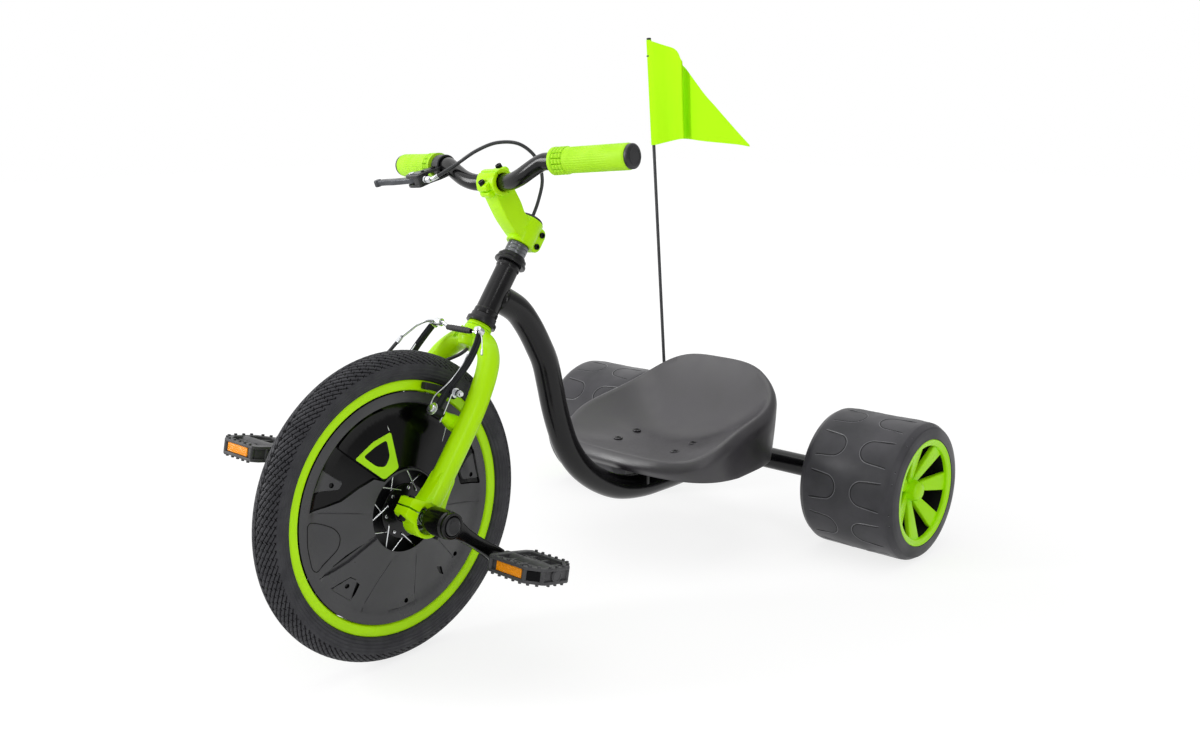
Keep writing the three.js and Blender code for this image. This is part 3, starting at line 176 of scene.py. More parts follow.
def tube(route, radius, sides=24, steps=80, squash=1.0, wide=None):
    """A round or squashed rod along a route; radius may be a function of the share along it"""
    points = smooth_route([Vector(p) for p in route], steps)
    radius_at = radius if callable(radius) else (lambda share: radius)
    verts, faces = [], []
    side = None
    for i, point in enumerate(points):
        ahead = points[min(i + 1, steps)] - points[max(i - 1, 0)]
        ahead.normalize()
        if wide:
            side = Vector(wide)
        elif side is None:
            side = ahead.orthogonal()
        side = (side - ahead * side.dot(ahead)).normalized()
        other = ahead.cross(side)
        size = radius_at(i / steps)
        for k in range(sides):
            turn = 2 * math.pi * k / sides
            verts.append(point + side * size * math.cos(turn) + other * size * squash * math.sin(turn))
    for i in range(steps):
        for k in range(sides):
            a, b = i * sides + k, i * sides + (k + 1) % sides
            faces.append((a, b, b + sides, a + sides))
    faces.append(tuple(range(sides)))
    faces.append(tuple(steps * sides + k for k in range(sides)))
    return verts, faces


def joined(*shapes):
    """Several shapes as one"""
    verts, faces = [], []
    for shape_verts, shape_faces in shapes:
        faces += [tuple(i + len(verts) for i in face) for face in shape_faces]
        verts += shape_verts
    return verts, faces


def moved(shape, *matrices):
    """The shape placed by one or more matrices, the last of them first"""
    verts, faces = shape
    for matrix in reversed(matrices):
        verts = [matrix @ Vector(v) for v in verts]
    return verts, faces


def make_piece(name, shape, place, material, body, replaces=(), sharp=38, rounded=0.0,
               kinds=None):
    """An object from a shape in mm; rounded bevels its sharp edges, kinds are further materials"""
    built = bmesh.new()
    made = [built.verts.new(place @ Vector(v)) for v in shape[0]]
    for face in shape[1]:
        built.faces.new([made[i] for i in face])
    bmesh.ops.recalc_face_normals(built, faces=built.faces)
    if rounded:
        edges = [e for e in built.edges
                 if len(e.link_faces) == 2 and e.calc_face_angle(0) > math.radians(sharp)]
        bmesh.ops.bevel(built, geom=edges, offset=rounded * to_metres, segments=3, profile=0.5,
                        affect="EDGES", clamp_overlap=True)
    mesh = bpy.data.meshes.new(name)
    built.to_mesh(mesh)
    built.free()
    mesh.polygons.foreach_set("use_smooth", [True] * len(mesh.polygons))
    mesh.set_sharp_from_angle(angle=math.radians(sharp))
    mesh.materials.append(material)
    made_object = bpy.data.objects.new(name, mesh)
    bpy.context.collection.objects.link(made_object)
    if kinds:
        for extra in kinds[0]:
            mesh.materials.append(extra)
        mesh.polygons.foreach_set("material_index", kinds[1])
    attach(made_object, body)
    if replaces:
        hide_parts(*replaces)
    return made_object


# Extruded PVC: near black with a soft sheen that breaks up along its length.
cable_pvc = new_material("extruded_pvc_housing", "#26272a", 0.38, grain=(1.5, 0.03), mottle="#2f3034",
                         worn=(0.3, 0.45))
cockpit_points = [at(-94.8, 109, 421), at(-88, 108.5, 425), at(-66, 103.5, 447), at(-38, 101, 471),
                  at(-14, 93, 488), at(3, 73, 499), at(9, 42, 497), at(8, 18, 480), at(3, 5, 455),
                  at(0, 0, 434)]
fork_points = [at(0, 0, 420), at(0, 0, 370), at(0, 0, 320), at(0, 0, 270), at(0, 0, 244),
               at(-2, 0, 229), at(-8, 1, 219), at(-18, 4, 209), at(-27, 10, 198), at(-32, 20, 187),
               at(-34, 36, 173), at(-36, 56, 156), at(-41, 73, 136), at(-50, 83, 117),
               at(-62, 86, 107), at(-73, 83, 113), at(-77, 78, 131), at(-71, 73, 153),
               at(-61, 70, 172), at(-55.5, 68, 190), at(-54, 65.8, 202.6)]
cable_points = [cockpit_turn @ point for point in cockpit_points] + fork_points
make_piece("cable_housing", tube(cable_points, cable_radius, sides=16, steps=cable_steps),
           steering, cable_pvc, "steering", replaces=["brake_cable"])

# Cable ferrules: caps stamped from brass and chrome plated, pushed over both cut ends of the
# housing, where each shows as a hard bright ring.
ferrule_chrome = new_material("chromed_brass_ferrule", "#c9cbce", 0.22, 1.0, grain=(0.6, 0.01),
                              worn=(0.15, 0.32))
ferrule_radius = 3.1
ferrule_length = 9
route_line = smooth_route(cable_points, cable_steps)


def ferrule(points):
    """A cap over the first stretch of a line of points"""
    way = [points[0]]
    for point in points[1:]:
        if (way[-1] - points[0]).length < ferrule_length:
            way.append(point)
    return tube([way[0], way[len(way) // 2], way[-1]], ferrule_radius, sides=20, steps=12)


make_piece("cable_ferrules", joined(ferrule(route_line[1:]), ferrule(route_line[::-1][1:])), steering,
           ferrule_chrome, "steering")

# Frame: bent steel tube from the head tube down under the seat to the cross tube of the rear
# axle, welded up with a seat bracket and baked in gloss black powder coat.
powder_black = new_material("gloss_black_powder_coat", "#09090a", 0.2, specular=0.3, grain=(9.0, 0.003),
                            mottle="#100f12", worn=(0.18, 0.24))
rear_low, rear_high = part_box("rear_axle")
rear_place = (rear_low + rear_high) / 2 * 1000
axle_y, axle_z = rear_place.y, rear_place.z
tube_radius = 19
axle_tube_radius = 17.5
axle_tube_half = 183
tube_pinch, pinch_share = 6.5, 0.05
head_tube_radius, head_bore = 15.5, 13.5
head_low, head_high = 277.3, 356.7
head_collar, collar_out = 7, 1
frame_start = hub_place + Matrix.Rotation(-head_tilt, 4, "X") @ at(0, -12.2, 310.4)
# The tube's points as shares of the way back to the axle and of the height above it
frame_shares = [(0, 1), (0.0556, 0.943), (0.0929, 0.8709), (0.1275, 0.7778), (0.1512, 0.6997),
                (0.1685, 0.5946), (0.1821, 0.5015), (0.2004, 0.4069), (0.2259, 0.3078),
                (0.2678, 0.2102), (0.3188, 0.1351), (0.3807, 0.0721), (0.4426, 0.03),
                (0.5301, 0.003), (0.6357, -0.003), (0.8179, 0), (1, 0)]
frame_route = [Vector((0, frame_start.y + (axle_y - frame_start.y) * back,
                       axle_z + (frame_start.z - axle_z) * up)) for back, up in frame_shares]
x_to_z = Matrix.Rotation(-math.pi / 2, 4, "Y")


def soften(points, size, steps=4, closed=True):
    """Rounds the corners of an outline or a profile"""
    made = []
    count = len(points)
    for i, point in enumerate(points):
        here = Vector(point)
        if not closed and i in (0, count - 1):
            made.append(tuple(here))
            continue
        before, after = Vector(points[i - 1]), Vector(points[(i + 1) % count])
        reach_in = min(size, (here - before).length * 0.45)
        reach_out = min(size, (after - here).length * 0.45)
        start = here + (before - here).normalized() * reach_in
        end = here + (after - here).normalized() * reach_out
        for k in range(steps + 1):
            t = k / steps
            made.append(tuple(start * (1 - t) ** 2 + here * 2 * t * (1 - t) + end * t * t))
    return made


def round_x(x, radius, turn):
    """A place by its distance along X, its radius and its turn about X"""
    return Vector((x, radius * math.cos(turn), radius * math.sin(turn)))


def revolve(profile, sides=64, closed=True):
    """A solid turned about X from (radius, along) pairs; pairs of radius 0 lie on the axis"""
    verts, rings, faces = [], [], []
    for radius, along in profile:
        if radius < 1e-6:
            rings.append([len(verts)])
            verts.append(Vector((along, 0, 0)))
            continue
        rings.append([len(verts) + k for k in range(sides)])
        for k in range(sides):
            turn = 2 * math.pi * k / sides
            verts.append(round_x(along, radius, turn))
    pairs = list(zip(rings, rings[1:]))
    if closed and len(rings[0]) > 1:
        pairs.append((rings[-1], rings[0]))
    for low, high in pairs:
        if len(low) == 1 and len(high) == 1:
            continue
        for k in range(sides):
            n = (k + 1) % sides
            quad = [low[k % len(low)], low[n % len(low)], high[n % len(high)], high[k % len(high)]]
            faces.append(tuple(dict.fromkeys(quad)))
    return verts, faces


def ring(inner, outer, start, end, round_by=0.8, sides=64):
    """A collar about X with softened edges"""
    return revolve(soften([(inner, start), (outer, start), (outer, end), (inner, end)], round_by, 3),
                   sides)


def disc(radius, start, end, round_by=0.8, sides=48):
    """A solid cylinder along X with rounded rims"""
    rim = soften([(0, start), (radius, start), (radius, end), (0, end)], round_by, 3, closed=False)
    return revolve(rim, sides)


def plate(points, low, high, plane="xy"):
    """An outline pulled up from low to high across its plane"""
    places = {"xy": lambda p, t: (p[0], p[1], t), "yz": lambda p, t: (t, p[0], p[1])}[plane]
    count = len(points)
    verts = [Vector(places(p, low)) for p in points] + [Vector(places(p, high)) for p in points]
    faces = [tuple(range(count)), tuple(range(count, 2 * count))]
    faces += [(k, (k + 1) % count, count + (k + 1) % count, count + k) for k in range(count)]
    return verts, faces


def block(low, high):
    """A straight box between two corners"""
    corners = [(low[0], low[1]), (high[0], low[1]), (high[0], high[1]), (low[0], high[1])]
    return plate(corners, low[2], high[2])


def frame_radius(share):
    """The bent tube is drawn in where it meets the head tube"""
    return tube_radius - tube_pinch * max(0.0, 1 - share / pinch_share) ** 1.5


frame_line = [frame_route[0] + (frame_route[0] - frame_route[1]) * 0.25, *frame_route]
make_piece("frame_tube", tube(frame_line, frame_radius, sides=56, steps=240), scale, powder_black,
           "trike_frame", replaces=["frame"])
collar_radius = head_tube_radius + collar_out
head_profile = [(head_bore, head_low), (collar_radius, head_low),
                (collar_radius, head_low + head_collar),
                (head_tube_radius, head_low + head_collar + collar_out),
                (head_tube_radius, head_high - head_collar - collar_out),
                (collar_radius, head_high - head_collar), (collar_radius, head_high),
                (head_bore, head_high)]
make_piece("head_tube", moved(revolve(soften(head_profile, 0.8, 3)), x_to_z), steering, powder_black,
           "trike_frame")
rear = scale @ Matrix.Translation(rear_place)
make_piece("axle_tube", ring(12, axle_tube_radius, -axle_tube_half, axle_tube_half), rear,
           powder_black, "trike_frame")
# The weld where the bent tube meets the cross tube: a rippled bead that follows their joint
bead = []
bead_steps, bead_radius, bead_ripple = 48, 1.9, 0.35
for k in range(bead_steps + 1):
    turn = 2 * math.pi * k / bead_steps
    side = tube_radius * math.cos(turn)
    up = tube_radius * math.sin(turn)
    back = -math.sqrt(max(axle_tube_radius ** 2 - min(abs(up), axle_tube_radius) ** 2, 0)) - 0.5
    bead.append(rear_place + Vector((side, back, up)))
make_piece("weld_bead", tube(bead, lambda share: bead_radius + bead_ripple * math.sin(share * 300), 12,
                             240), scale, powder_black, "trike_frame")
# The seat's bracket is a plate on two upright feet
bracket_high, bracket_thick = 163.7, 3
bracket_low = bracket_high - bracket_thick
bracket_front = hub_place.y + 478
bracket_back = hub_place.y + 570
bracket_half = 75
foot_half, foot_wall = 22, 6
bracket = [block((-bracket_half, bracket_front, bracket_low),
                 (bracket_half, bracket_back, bracket_high))]
for y in (bracket_front, bracket_back - foot_wall):
    bracket.append(block((-foot_half, y, axle_z + 8), (foot_half, y + foot_wall, bracket_low + 1)))
make_piece("seat_bracket", joined(*bracket), scale, powder_black, "trike_frame",
           rounded=1.0)

# Headset: turned steel cups pressed into the head tube, painted races and an alloy spacer ring
# clamped above them by the stem.
satin_black = new_material("satin_black_turned_steel", "#131315", 0.32, 0.4, grain=(0.9, 0.015),
                           mottle="#1b1b1e", worn=(0.26, 0.4))
spacer_alloy = new_material("anodised_alloy_spacer", "#6b6d70", 0.3, 1.0, grain=(0.8, 0.01),
                            worn=(0.24, 0.38))
# Lime powder coat: a thick even gloss with a slight orange peel.
powder_lime = new_material("gloss_lime_powder_coat", "#bcf800", 0.24, specular=0.2, grain=(9.0, 0.003),
                           mottle="#b6f200", mottle_size=90, worn=(0.22, 0.32))
steerer_radius = 12.7
ring_bore = steerer_radius + 0.3


def stacked(*steps):
    """A ring on the steerer from (height, radius) steps"""
    profile = [(ring_bore, steps[0][0])]
    for (low, radius), (high, _) in zip(steps, steps[1:]):
        profile += [(radius, low), (radius, high)]
    profile.append((ring_bore, steps[-1][0]))
    return moved(revolve(soften(profile, 0.6, 3)), x_to_z)


make_piece("lower_cup", stacked((264, 20.5), (270, 17.5), (277, 0)), steering, satin_black,
           "trike_frame", replaces=["headset_lower_cup"])
make_piece("upper_cup", stacked((357, 22), (360.6, 20.5), (363, 0)), steering, satin_black,
           "trike_frame", replaces=["headset_upper_cup"])
make_piece("crown_race", stacked((258.3, 17.5), (261, 16.4), (263.7, 0)), steering, powder_lime,
           "steering", replaces=["headset_crown_race"])
make_piece("top_race", stacked((363.3, 20), (366.8, 17), (370.3, 0)), steering, satin_black,
           "steering", replaces=["headset_top_race"])
make_piece("steerer_spacer_rings", stacked((370.6, 14.8), (375.5, 14.2), (376, 14.8), (381, 14.2),
                                           (381.5, 14.8), (387, 0)), steering, spacer_alloy,
           "steering", replaces=["steerer_spacer"])
# Moulded nylon cap with a hole for the cable, closed over the top of the steerer.
nylon_black = new_material("moulded_black_nylon", "#18191b", 0.42, grain=(0.8, 0.03), mottle="#202124",
                           worn=(0.36, 0.5))
cap_profile = [(2.7, 425.6), (17.5, 425.6), (17.5, 427), (15.6, 429.1), (2.7, 429.1)]
make_piece("steerer_lid", moved(revolve(soften(cap_profile, 0.7, 3)), x_to_z), steering, nylon_black,
           "steering", replaces=["steerer_cap"])

# Fork: two fat steel legs bent out of a moulded crown, flared at the foot into split clamps for
# the hub bearings. Welded, then powder coated lime.
leg_radius = 14.5
leg_x = 60
crown_top = 258
leg_shares = [(0.1, 0.942), (0.4, 0.924), (0.6, 0.886), (0.75, 0.837), (0.85, 0.775), (0.925, 0.698),
              (1, 0.562), (1.017, 0.31)]
leg_foot = 18
leg_line = [at(leg_x * out, 0, crown_top * up) for out, up in leg_shares] + [at(leg_x, 0, leg_foot)]
mirror = Matrix.Diagonal((-1, 1, 1, 1))
both_sides = (("left", Matrix.Identity(4)), ("right", mirror))
clamp_inner, clamp_outer = 50, 72
clamp_ear, clamp_ear_height = 39, 12
bearing_radius = 20
clamp_radius = 25


def arc(radius, start, end, steps, centre=(0, 0)):
    """Points on a circle from one angle in degrees to another"""
    turns = [math.radians(start + (end - start) * k / steps) for k in range(steps + 1)]
    return [(centre[0] + radius * math.cos(t), centre[1] + radius * math.sin(t)) for t in turns]


def doubled(side):
    """An outline or a profile that is whole with its mirror image"""
    return side + [(along, -across) for along, across in reversed(side)]


def clamp_half(side):
    """Half of a split bearing clamp: its eye, its two ears and a smooth blend between them"""
    seam = 1.1
    lean = math.degrees(math.asin(clamp_ear_height / clamp_radius))
    points = [(clamp_ear, seam), (clamp_ear, clamp_ear_height - 2)]
    points += [(clamp_ear - 4, clamp_ear_height + 0.5), (clamp_radius + 3, clamp_ear_height + 2)]
    points += arc(clamp_radius, lean + 8, 172 - lean, 20)
    points += [(-clamp_radius - 3, clamp_ear_height + 2), (4 - clamp_ear, clamp_ear_height + 0.5)]
    points += [(-clamp_ear, clamp_ear_height - 2), (-clamp_ear, seam), (-bearing_radius - 0.3, seam)]
    points += arc(bearing_radius + 0.3, 179, 1, 24) + [(bearing_radius + 0.3, seam)]
    return plate([(y, side * z) for y, z in points], clamp_inner, clamp_outer, "yz")


def foot_web():
    """The flare that gathers the leg into the clamp"""
    outline = doubled([(10, 20), (25, 16.5), (40, 14), (62, 12.5)])
    return plate(soften([(y, z) for z, y in outline], 12, 6), clamp_inner + 1.5, clamp_outer - 1.5, "yz")


fork_parts = []
for _, flip in both_sides:
    fork_parts.append(moved(tube(leg_line, leg_radius, sides=48, steps=140), flip))
fork_parts.append(moved(disc(steerer_radius, 249, 425, 0.5), x_to_z))
crown_profile = soften([(0, 228), (16, 228), (21, 238), (20.5, 250), (18.4, 252), (18.4, crown_top),
                        (0, crown_top)], 2.5, 5, closed=False)
fork_parts.append(moved(revolve(crown_profile), x_to_z))
make_piece("fork_legs", joined(*fork_parts), steering, powder_lime, "steering",
           replaces=["fork"])
# Moulded creases that run down the front and back of the crown
creases = []
for forward in (1, -1):
    for lean in (-1, -0.35, 0.35, 1):
        creases.append(tube([at(lean * 9, forward * 17.4, 251), at(lean * 15, forward * 18.2, 243),
                             at(lean * 22, forward * 15.6, 235)],
                            lambda share: 2.4 - 1.6 * share, 12, 14))
make_piece("crown_creases", joined(*creases), steering, powder_lime, "steering")
for word, flip in both_sides:
    make_piece(f"upper_clamp_{word}", moved(joined(clamp_half(1), foot_web()), flip), steering,
               powder_lime, "steering", rounded=1.6)
    make_piece(f"lower_clamp_{word}", moved(clamp_half(-1), flip), steering, powder_lime, "steering",
               replaces=[f"fork_cap_{word}"], rounded=1.6)


def along(direction, place):
    """Turns X to a direction and moves to a place"""
    turn = Vector((1, 0, 0)).rotation_difference(Vector(direction)).to_matrix().to_4x4()
    return Matrix.Translation(Vector(place)) @ turn


def stood(shape, place):
    """The shape with its X upright, at a place"""
    return moved(shape, along((0, 0, 1), place))


# Brake post bosses on the legs
brake_pivot = at(40, 0, 124)
boss_turning = soften([(0, -4), (11, -4), (10.5, 8), (7.4, 20), (6.8, 29.4), (0, 29.4)], 2.5, 4,
                      closed=False)
boss = joined(moved(revolve(boss_turning, 48, closed=False), along((0, -1, 0), brake_pivot)),
              plate(soften([(-13, 115), (-1, 115), (-1, 133), (-13, 133)], 4, 4), 40, 58, "yz"))
make_piece("brake_bosses", joined(boss, moved(boss, mirror)), steering, powder_lime, "steering",
           rounded=1.5)

# Socket screws: steel heads blackened in an oxide bath, with a recessed socket. They close the
# clamps of the fork, the stem and the bar.
black_oxide = new_material("black_oxide_screw_steel", "#141416", 0.3, 0.75, grain=(0.5, 0.01),
                           worn=(0.24, 0.4))


def screw(radius, height):
    """A cap screw along X from its seat, with a recessed socket"""
    profile = [(0, height * 0.35), (radius * 0.5, height * 0.35), (radius * 0.5, height),
               (radius * 0.9, height), (radius, height * 0.85), (radius, -1), (0, -1)]
    return revolve(profile, 30)


fork_screws = []
screw_x, screw_forward = (clamp_inner + clamp_outer) / 2, 32
for x in (screw_x, -screw_x):
    for forward in (screw_forward, -screw_forward):
        fork_screws.append(moved(screw(4.6, 5), along((0, 0, -1), at(x, forward, -clamp_ear_height))))
        fork_screws.append(stood(disc(4.2, 0, 3.5, 0.6), at(x, forward, clamp_ear_height - 0.5)))
make_piece("fork_clamp_screws", joined(*fork_screws), steering, black_oxide, "steering")

# Hub bearings: ground steel rings with a black rubber seal between them. They sit in the fork's
# clamps and carry the spindle.
bearing_steel = new_material("ground_bearing_steel", "#d2d4d6", 0.2, 1.0, grain=(0.6, 0.006),
                             worn=(0.14, 0.28))
seal_rubber = new_material("nitrile_seal_rubber", "#1d1d1f", 0.6, grain=(0.5, 0.02))
spindle_bore = 8.8
seal_inner, seal_outer = 12, 15.6
bearing_in, bearing_out = 44, 58
races = joined(ring(seal_outer, bearing_radius, bearing_in, bearing_out),
               ring(spindle_bore, seal_inner, bearing_in, bearing_out))
seal = ring(seal_inner, seal_outer, bearing_in + 0.5, bearing_out - 0.5, 0.4)
for word, flip in both_sides:
    make_piece(f"bearing_{word}", moved(races, flip), wheel, bearing_steel, "steering",
               replaces=[f"hub_bearing_{word}"])
    make_piece(f"bearing_seal_{word}", moved(seal, flip), wheel, seal_rubber, "steering")

# Stem: forged lime block, clamped on the steerer by two screws behind and holding the bar
# between its cradle and a bolted cap in front.
bar_forward, bar_up = 78, 435
bar_clamp_radius = 18
bar_clamp_half = 18
bar_bore = 11.8
face_turn = Matrix.Rotation(-math.radians(20), 4, "X")
bar_middle = at(0, bar_forward, bar_up)
face = Matrix.Translation(bar_middle) @ face_turn
stem_base, stem_top = 387.3, 425.3
trunk_shares = [(0.05, 0.06), (0.22, 0.1), (0.56, 0.27), (0.85, 0.5), (0.99, 0.62), (1.02, 0.8),
                (0.94, 1.2), (0.74, 1.14), (0.45, 0.93), (0.29, 0.74), (0.05, 0.71)]
trunk_side = [(-bar_forward * out, stem_base + (bar_up - stem_base) * up) for out, up in trunk_shares]
trunk = plate(soften(trunk_side, 7, 5), -14, 14, "yz")
steerer_clamp = moved(ring(ring_bore, 19, stem_base, stem_top, 1.6), x_to_z)
ear_side = [(4, stem_base + 1.5), (24, stem_base + 1.5), (29, stem_base + 8), (29, stem_top - 8),
            (24, stem_top - 1.5), (4, stem_top - 1.5)]
ears = [plate(soften(ear_side, 4, 4), low, high, "yz") for low, high in ((-9, -1), (1, 9))]
cradle_points = arc(bar_clamp_radius, 0, 180, 28) + arc(bar_bore, 180, 0, 24)
cradle = moved(plate(cradle_points, -bar_clamp_half, bar_clamp_half, "yz"), face)
tab_half = 10
cradle_tab = [(0.2, 12.5), (9, 12.5), (9, 21), (6, 24), (0.2, 24)]
seat_tabs = [moved(plate(soften([(y, way * z) for y, z in cradle_tab], 2.2, 4), -tab_half, tab_half, "yz"),
                   face) for way in (1, -1)]
make_piece("stem_forging", joined(trunk, steerer_clamp, *ears, cradle, *seat_tabs), cockpit,
           powder_lime, "steering", replaces=["stem"], rounded=2.2)
cap_points = arc(bar_clamp_radius, 184, 356, 28) + arc(bar_bore, 353, 187, 24)
cap_tab = [(-1.5, 12.5), (-1.5, 23), (-5, 24), (-10.5, 22), (-12, 12.5)]
cap_tabs = [plate(soften([(y, way * z) for y, z in cap_tab], 2.5, 4), -tab_half, tab_half, "yz")
            for way in (1, -1)]
bar_cap = moved(joined(plate(cap_points, -bar_clamp_half, bar_clamp_half, "yz"), *cap_tabs), face)
make_piece("bar_cap", bar_cap, cockpit, powder_lime, "steering",
           replaces=["handlebar_clamp"], rounded=1.6)
stem_screws = [moved(screw(4.3, 5), face, along((0, -1, 0), (0, -10.8, up))) for up in (18, -18)]
for up in (stem_base + 10, stem_top - 10):
    stem_screws.append(moved(screw(4, 3), along((1, 0, 0), at(9, -21, up))))
    stem_screws.append(moved(disc(3.6, 0, 2.2, 0.5), along((-1, 0, 0), at(-9, -21, up))))
make_piece("stem_screws", joined(*stem_screws), cockpit, black_oxide, "steering")

# Handlebar: one steel tube, bent forward and up on each side of the stem and finished in the
# frame's gloss black powder coat.
bar_radius = 11.1
bar_half = 233
bar_straight = 20
bend_x, bend_forward, bend_up = 100, 13.9, 19.8
bar_bend = at(bend_x, bar_forward + bend_forward, bar_up + bend_up)
bar_along = (at(140, -16.7, 15.4)).normalized()


def on_bar(x):
    """A place on the left end of the bar, outside its bend"""
    return bar_bend + bar_along * ((x - bend_x) / bar_along.x)


bend_shares = [(0.25, 0.252, -0.05), (0.475, 0.54, 0.101), (0.7, 0.827, 0.4545), (0.875, 0.978, 0.798)]
half_bar = [at(bar_straight, bar_forward, bar_up)]
half_bar += [at(bar_straight + (bend_x - bar_straight) * out, bar_forward + bend_forward * ahead,
                bar_up + bend_up * up) for out, ahead, up in bend_shares]
half_bar += [bar_bend, on_bar(bend_x + bar_radius), on_bar(160), on_bar(bar_half)]
bar_line = [mirror @ p for p in reversed(half_bar)] + [bar_middle] + half_bar
make_piece("bar_tube", tube(bar_line, bar_radius, sides=40, steps=220), cockpit, powder_black,
           "steering", replaces=["handlebar"])

# Grips: moulded lime rubber sleeves with a flange and a waffle band inboard, fine lengthwise ribs
# and a smooth outer band. A hard plug is pushed into each bar end.
grip_rubber = new_material("moulded_lime_rubber", "#b4ee22", 0.55, specular=0.3, grain=(1.0, 0.006),
                           mottle="#aae818", mottle_size=25, worn=(0.48, 0.62))
# The grooves of the pattern get a darker lime, as painted shade
painted_shade_lime = new_material("painted_shade_lime_groove", "#86b80c", 0.7, specular=0.15,
                           grain=(1.0, 0.006), mottle="#7eae08")
grip_radius = 16.3
flange_radius = 17.6
flange_width = 5
waffle_width, waffle_pitch, waffle_count = 17, 5.3, 14
rib_count = 34
smooth_width = 26
end_taper = 2
grip_steps, grip_sides = 130, 320
bar_bore_fit = bar_radius + 0.6


def relief(profile, sides, height):
    """A turned solid whose profile points move out by height(index, angle) along their normals"""
    verts, faces, heights = [], [], []
    count = len(profile)
    for i, point in enumerate(profile):
        run = (Vector(profile[(i + 1) % count]) - Vector(profile[i - 1])).normalized()
        normal = Vector((run.y, -run.x))
        for k in range(sides):
            turn = 2 * math.pi * k / sides
            out = height(i, turn)
            heights.append(out)
            radius, across = point[0] + normal.x * out, point[1] + normal.y * out
            verts.append(round_x(across, radius, turn))
    for i in range(count):
        for k in range(sides):
            n = (k + 1) % sides
            j = (i + 1) % count
            faces.append((i * sides + k, i * sides + n, j * sides + n, j * sides + k))
    return verts, faces, heights


def sunk(faces, heights, depth):
    """1 for each face that lies deeper than depth, which gets the second material, a darker one of painted
    shade, and 0 for the rest
    """
    return [int(sum(heights[i] for i in face) / 4 < -depth) for face in faces]


def grip(start, end):
    """The sleeve between two places along the bar, and which of its faces get the painted shade"""
    length = end - start
    profile = [(bar_bore_fit, start)]
    spots = [0]
    for i in range(grip_steps + 1):
        spot = length * i / grip_steps
        radius = flange_radius if spot < flange_width else grip_radius
        if spot > length - end_taper:
            radius -= (spot - length + end_taper) * 0.5
        profile.append((radius, start + spot))
        spots.append(spot)
    profile.append((bar_bore_fit, end))
    spots.append(length)

    def height(index, turn):
        spot = spots[index]
        if index == 0 or index == len(profile) - 1:
            return 0
        groove = 0.5 + 0.5 * math.cos(turn * rib_count)
        if flange_width + 1 < spot < flange_width + waffle_width:
            across = 0.5 + 0.5 * math.cos(2 * math.pi * (spot - flange_width - 1) / waffle_pitch)
            tall = 0.5 + 0.5 * math.cos(turn * waffle_count)
            return 1.3 - 2.5 * max(across ** 5, tall ** 6)
        if flange_width + waffle_width + 2 < spot < length - smooth_width:
            return -0.35 * groove ** 3
        return 0
    grip_verts, grip_faces, heights = relief(profile, grip_sides, height)
    return (grip_verts, grip_faces), sunk(grip_faces, heights, 0.5)


grip_turn = Vector((1, 0, 0)).rotation_difference(bar_along).to_matrix().to_4x4()
on_bend = Matrix.Translation(bar_bend) @ grip_turn
grip_end = (on_bar(bar_half) - bar_bend).length
plug_radius = 15.4
plug_profile = soften([(0, grip_end - 14), (7, grip_end - 14), (7, grip_end + 0.3),
                       (plug_radius, grip_end + 0.3), (plug_radius, grip_end + 4.6),
                       (plug_radius - 3, grip_end + 6.3), (0, grip_end + 6.3)], 0.9, 3, closed=False)
plug_rim = ring(9.6, 11, grip_end + 6.0, grip_end + 6.7, 0.3)
for word, flip in both_sides:
    inner = 118 if word == "left" else 128
    grip_start = (on_bar(inner) - bar_bend).length
    grip_form, grip_shade_faces = grip(grip_start, grip_end)
    make_piece(f"grip_sleeve_{word}", moved(grip_form, flip, on_bend), cockpit, grip_rubber, "steering",
               replaces=[f"grip_{word}"], sharp=60,
               kinds=([painted_shade_lime], grip_shade_faces))
    make_piece(f"bar_plug_{word}", moved(joined(revolve(plug_profile), plug_rim), flip, on_bend),
               cockpit, nylon_black, "steering", replaces=[f"bar_end_{word}"])

# Brake lever: a cast alloy blade on a steel pin, in a moulded nylon bracket whose band closes round
# the bar. A chromed barrel adjuster sits where the cable goes in.
lever_pull = math.radians(53.93)
pin_out = 137
lever_place = Matrix.Translation(at(-pin_out, 109, 421)) @ Matrix.Rotation(lever_pull, 4, "X")
lever = cockpit @ lever_place
lever_inverse = lever_place.inverted()
band_start, band_end = 13, 31


def on_right_bar(x):
    """A place on the right end of the bar, as the lever sees it"""
    return lever_inverse @ (mirror @ on_bar(pin_out - x))


body_half, body_wall = 8.5, 3.8
web_half = 9.5
front_shares = [(3.26, 2.53), (2.84, 1.47)]
back_shares = [(0.95, -1.05), (0, -1), (-0.74, -0.68), (-1, 0), (-0.74, 0.68), (0.21, 1.05),
               (0.84, 1.9), (1.37, 2.95)]
bracket_side = [(band_start, on_right_bar(band_start).y), (band_end, on_right_bar(band_end).y)]
bracket_side += [(web_half * x, web_half * y) for x, y in front_shares]
bracket_side += [(25, web_half), (25, -web_half)]
bracket_side += [(web_half * x, web_half * y) for x, y in back_shares]
bracket_plates = [plate(soften(bracket_side, 3, 4), low, low + body_wall)
                  for low in (-body_half, body_half - body_wall)]
web_side = [(9, 14), (25, 9), (25, -9), (12, -9), (9, 4)]
bracket_plates.append(plate(soften(web_side, 2, 3), -5, 5))
band_middle = (on_right_bar(band_start) + on_right_bar(band_end)) / 2
band_along = on_right_bar(band_end) - on_right_bar(band_start)
band_half = band_along.length / 2
band_shape = moved(ring(bar_bore_fit, 15, -band_half, band_half, 1.4), along(band_along, band_middle))
make_piece("lever_bracket", joined(band_shape, *bracket_plates), lever, nylon_black, "steering",
           replaces=["brake_lever_bracket"], rounded=1.0)
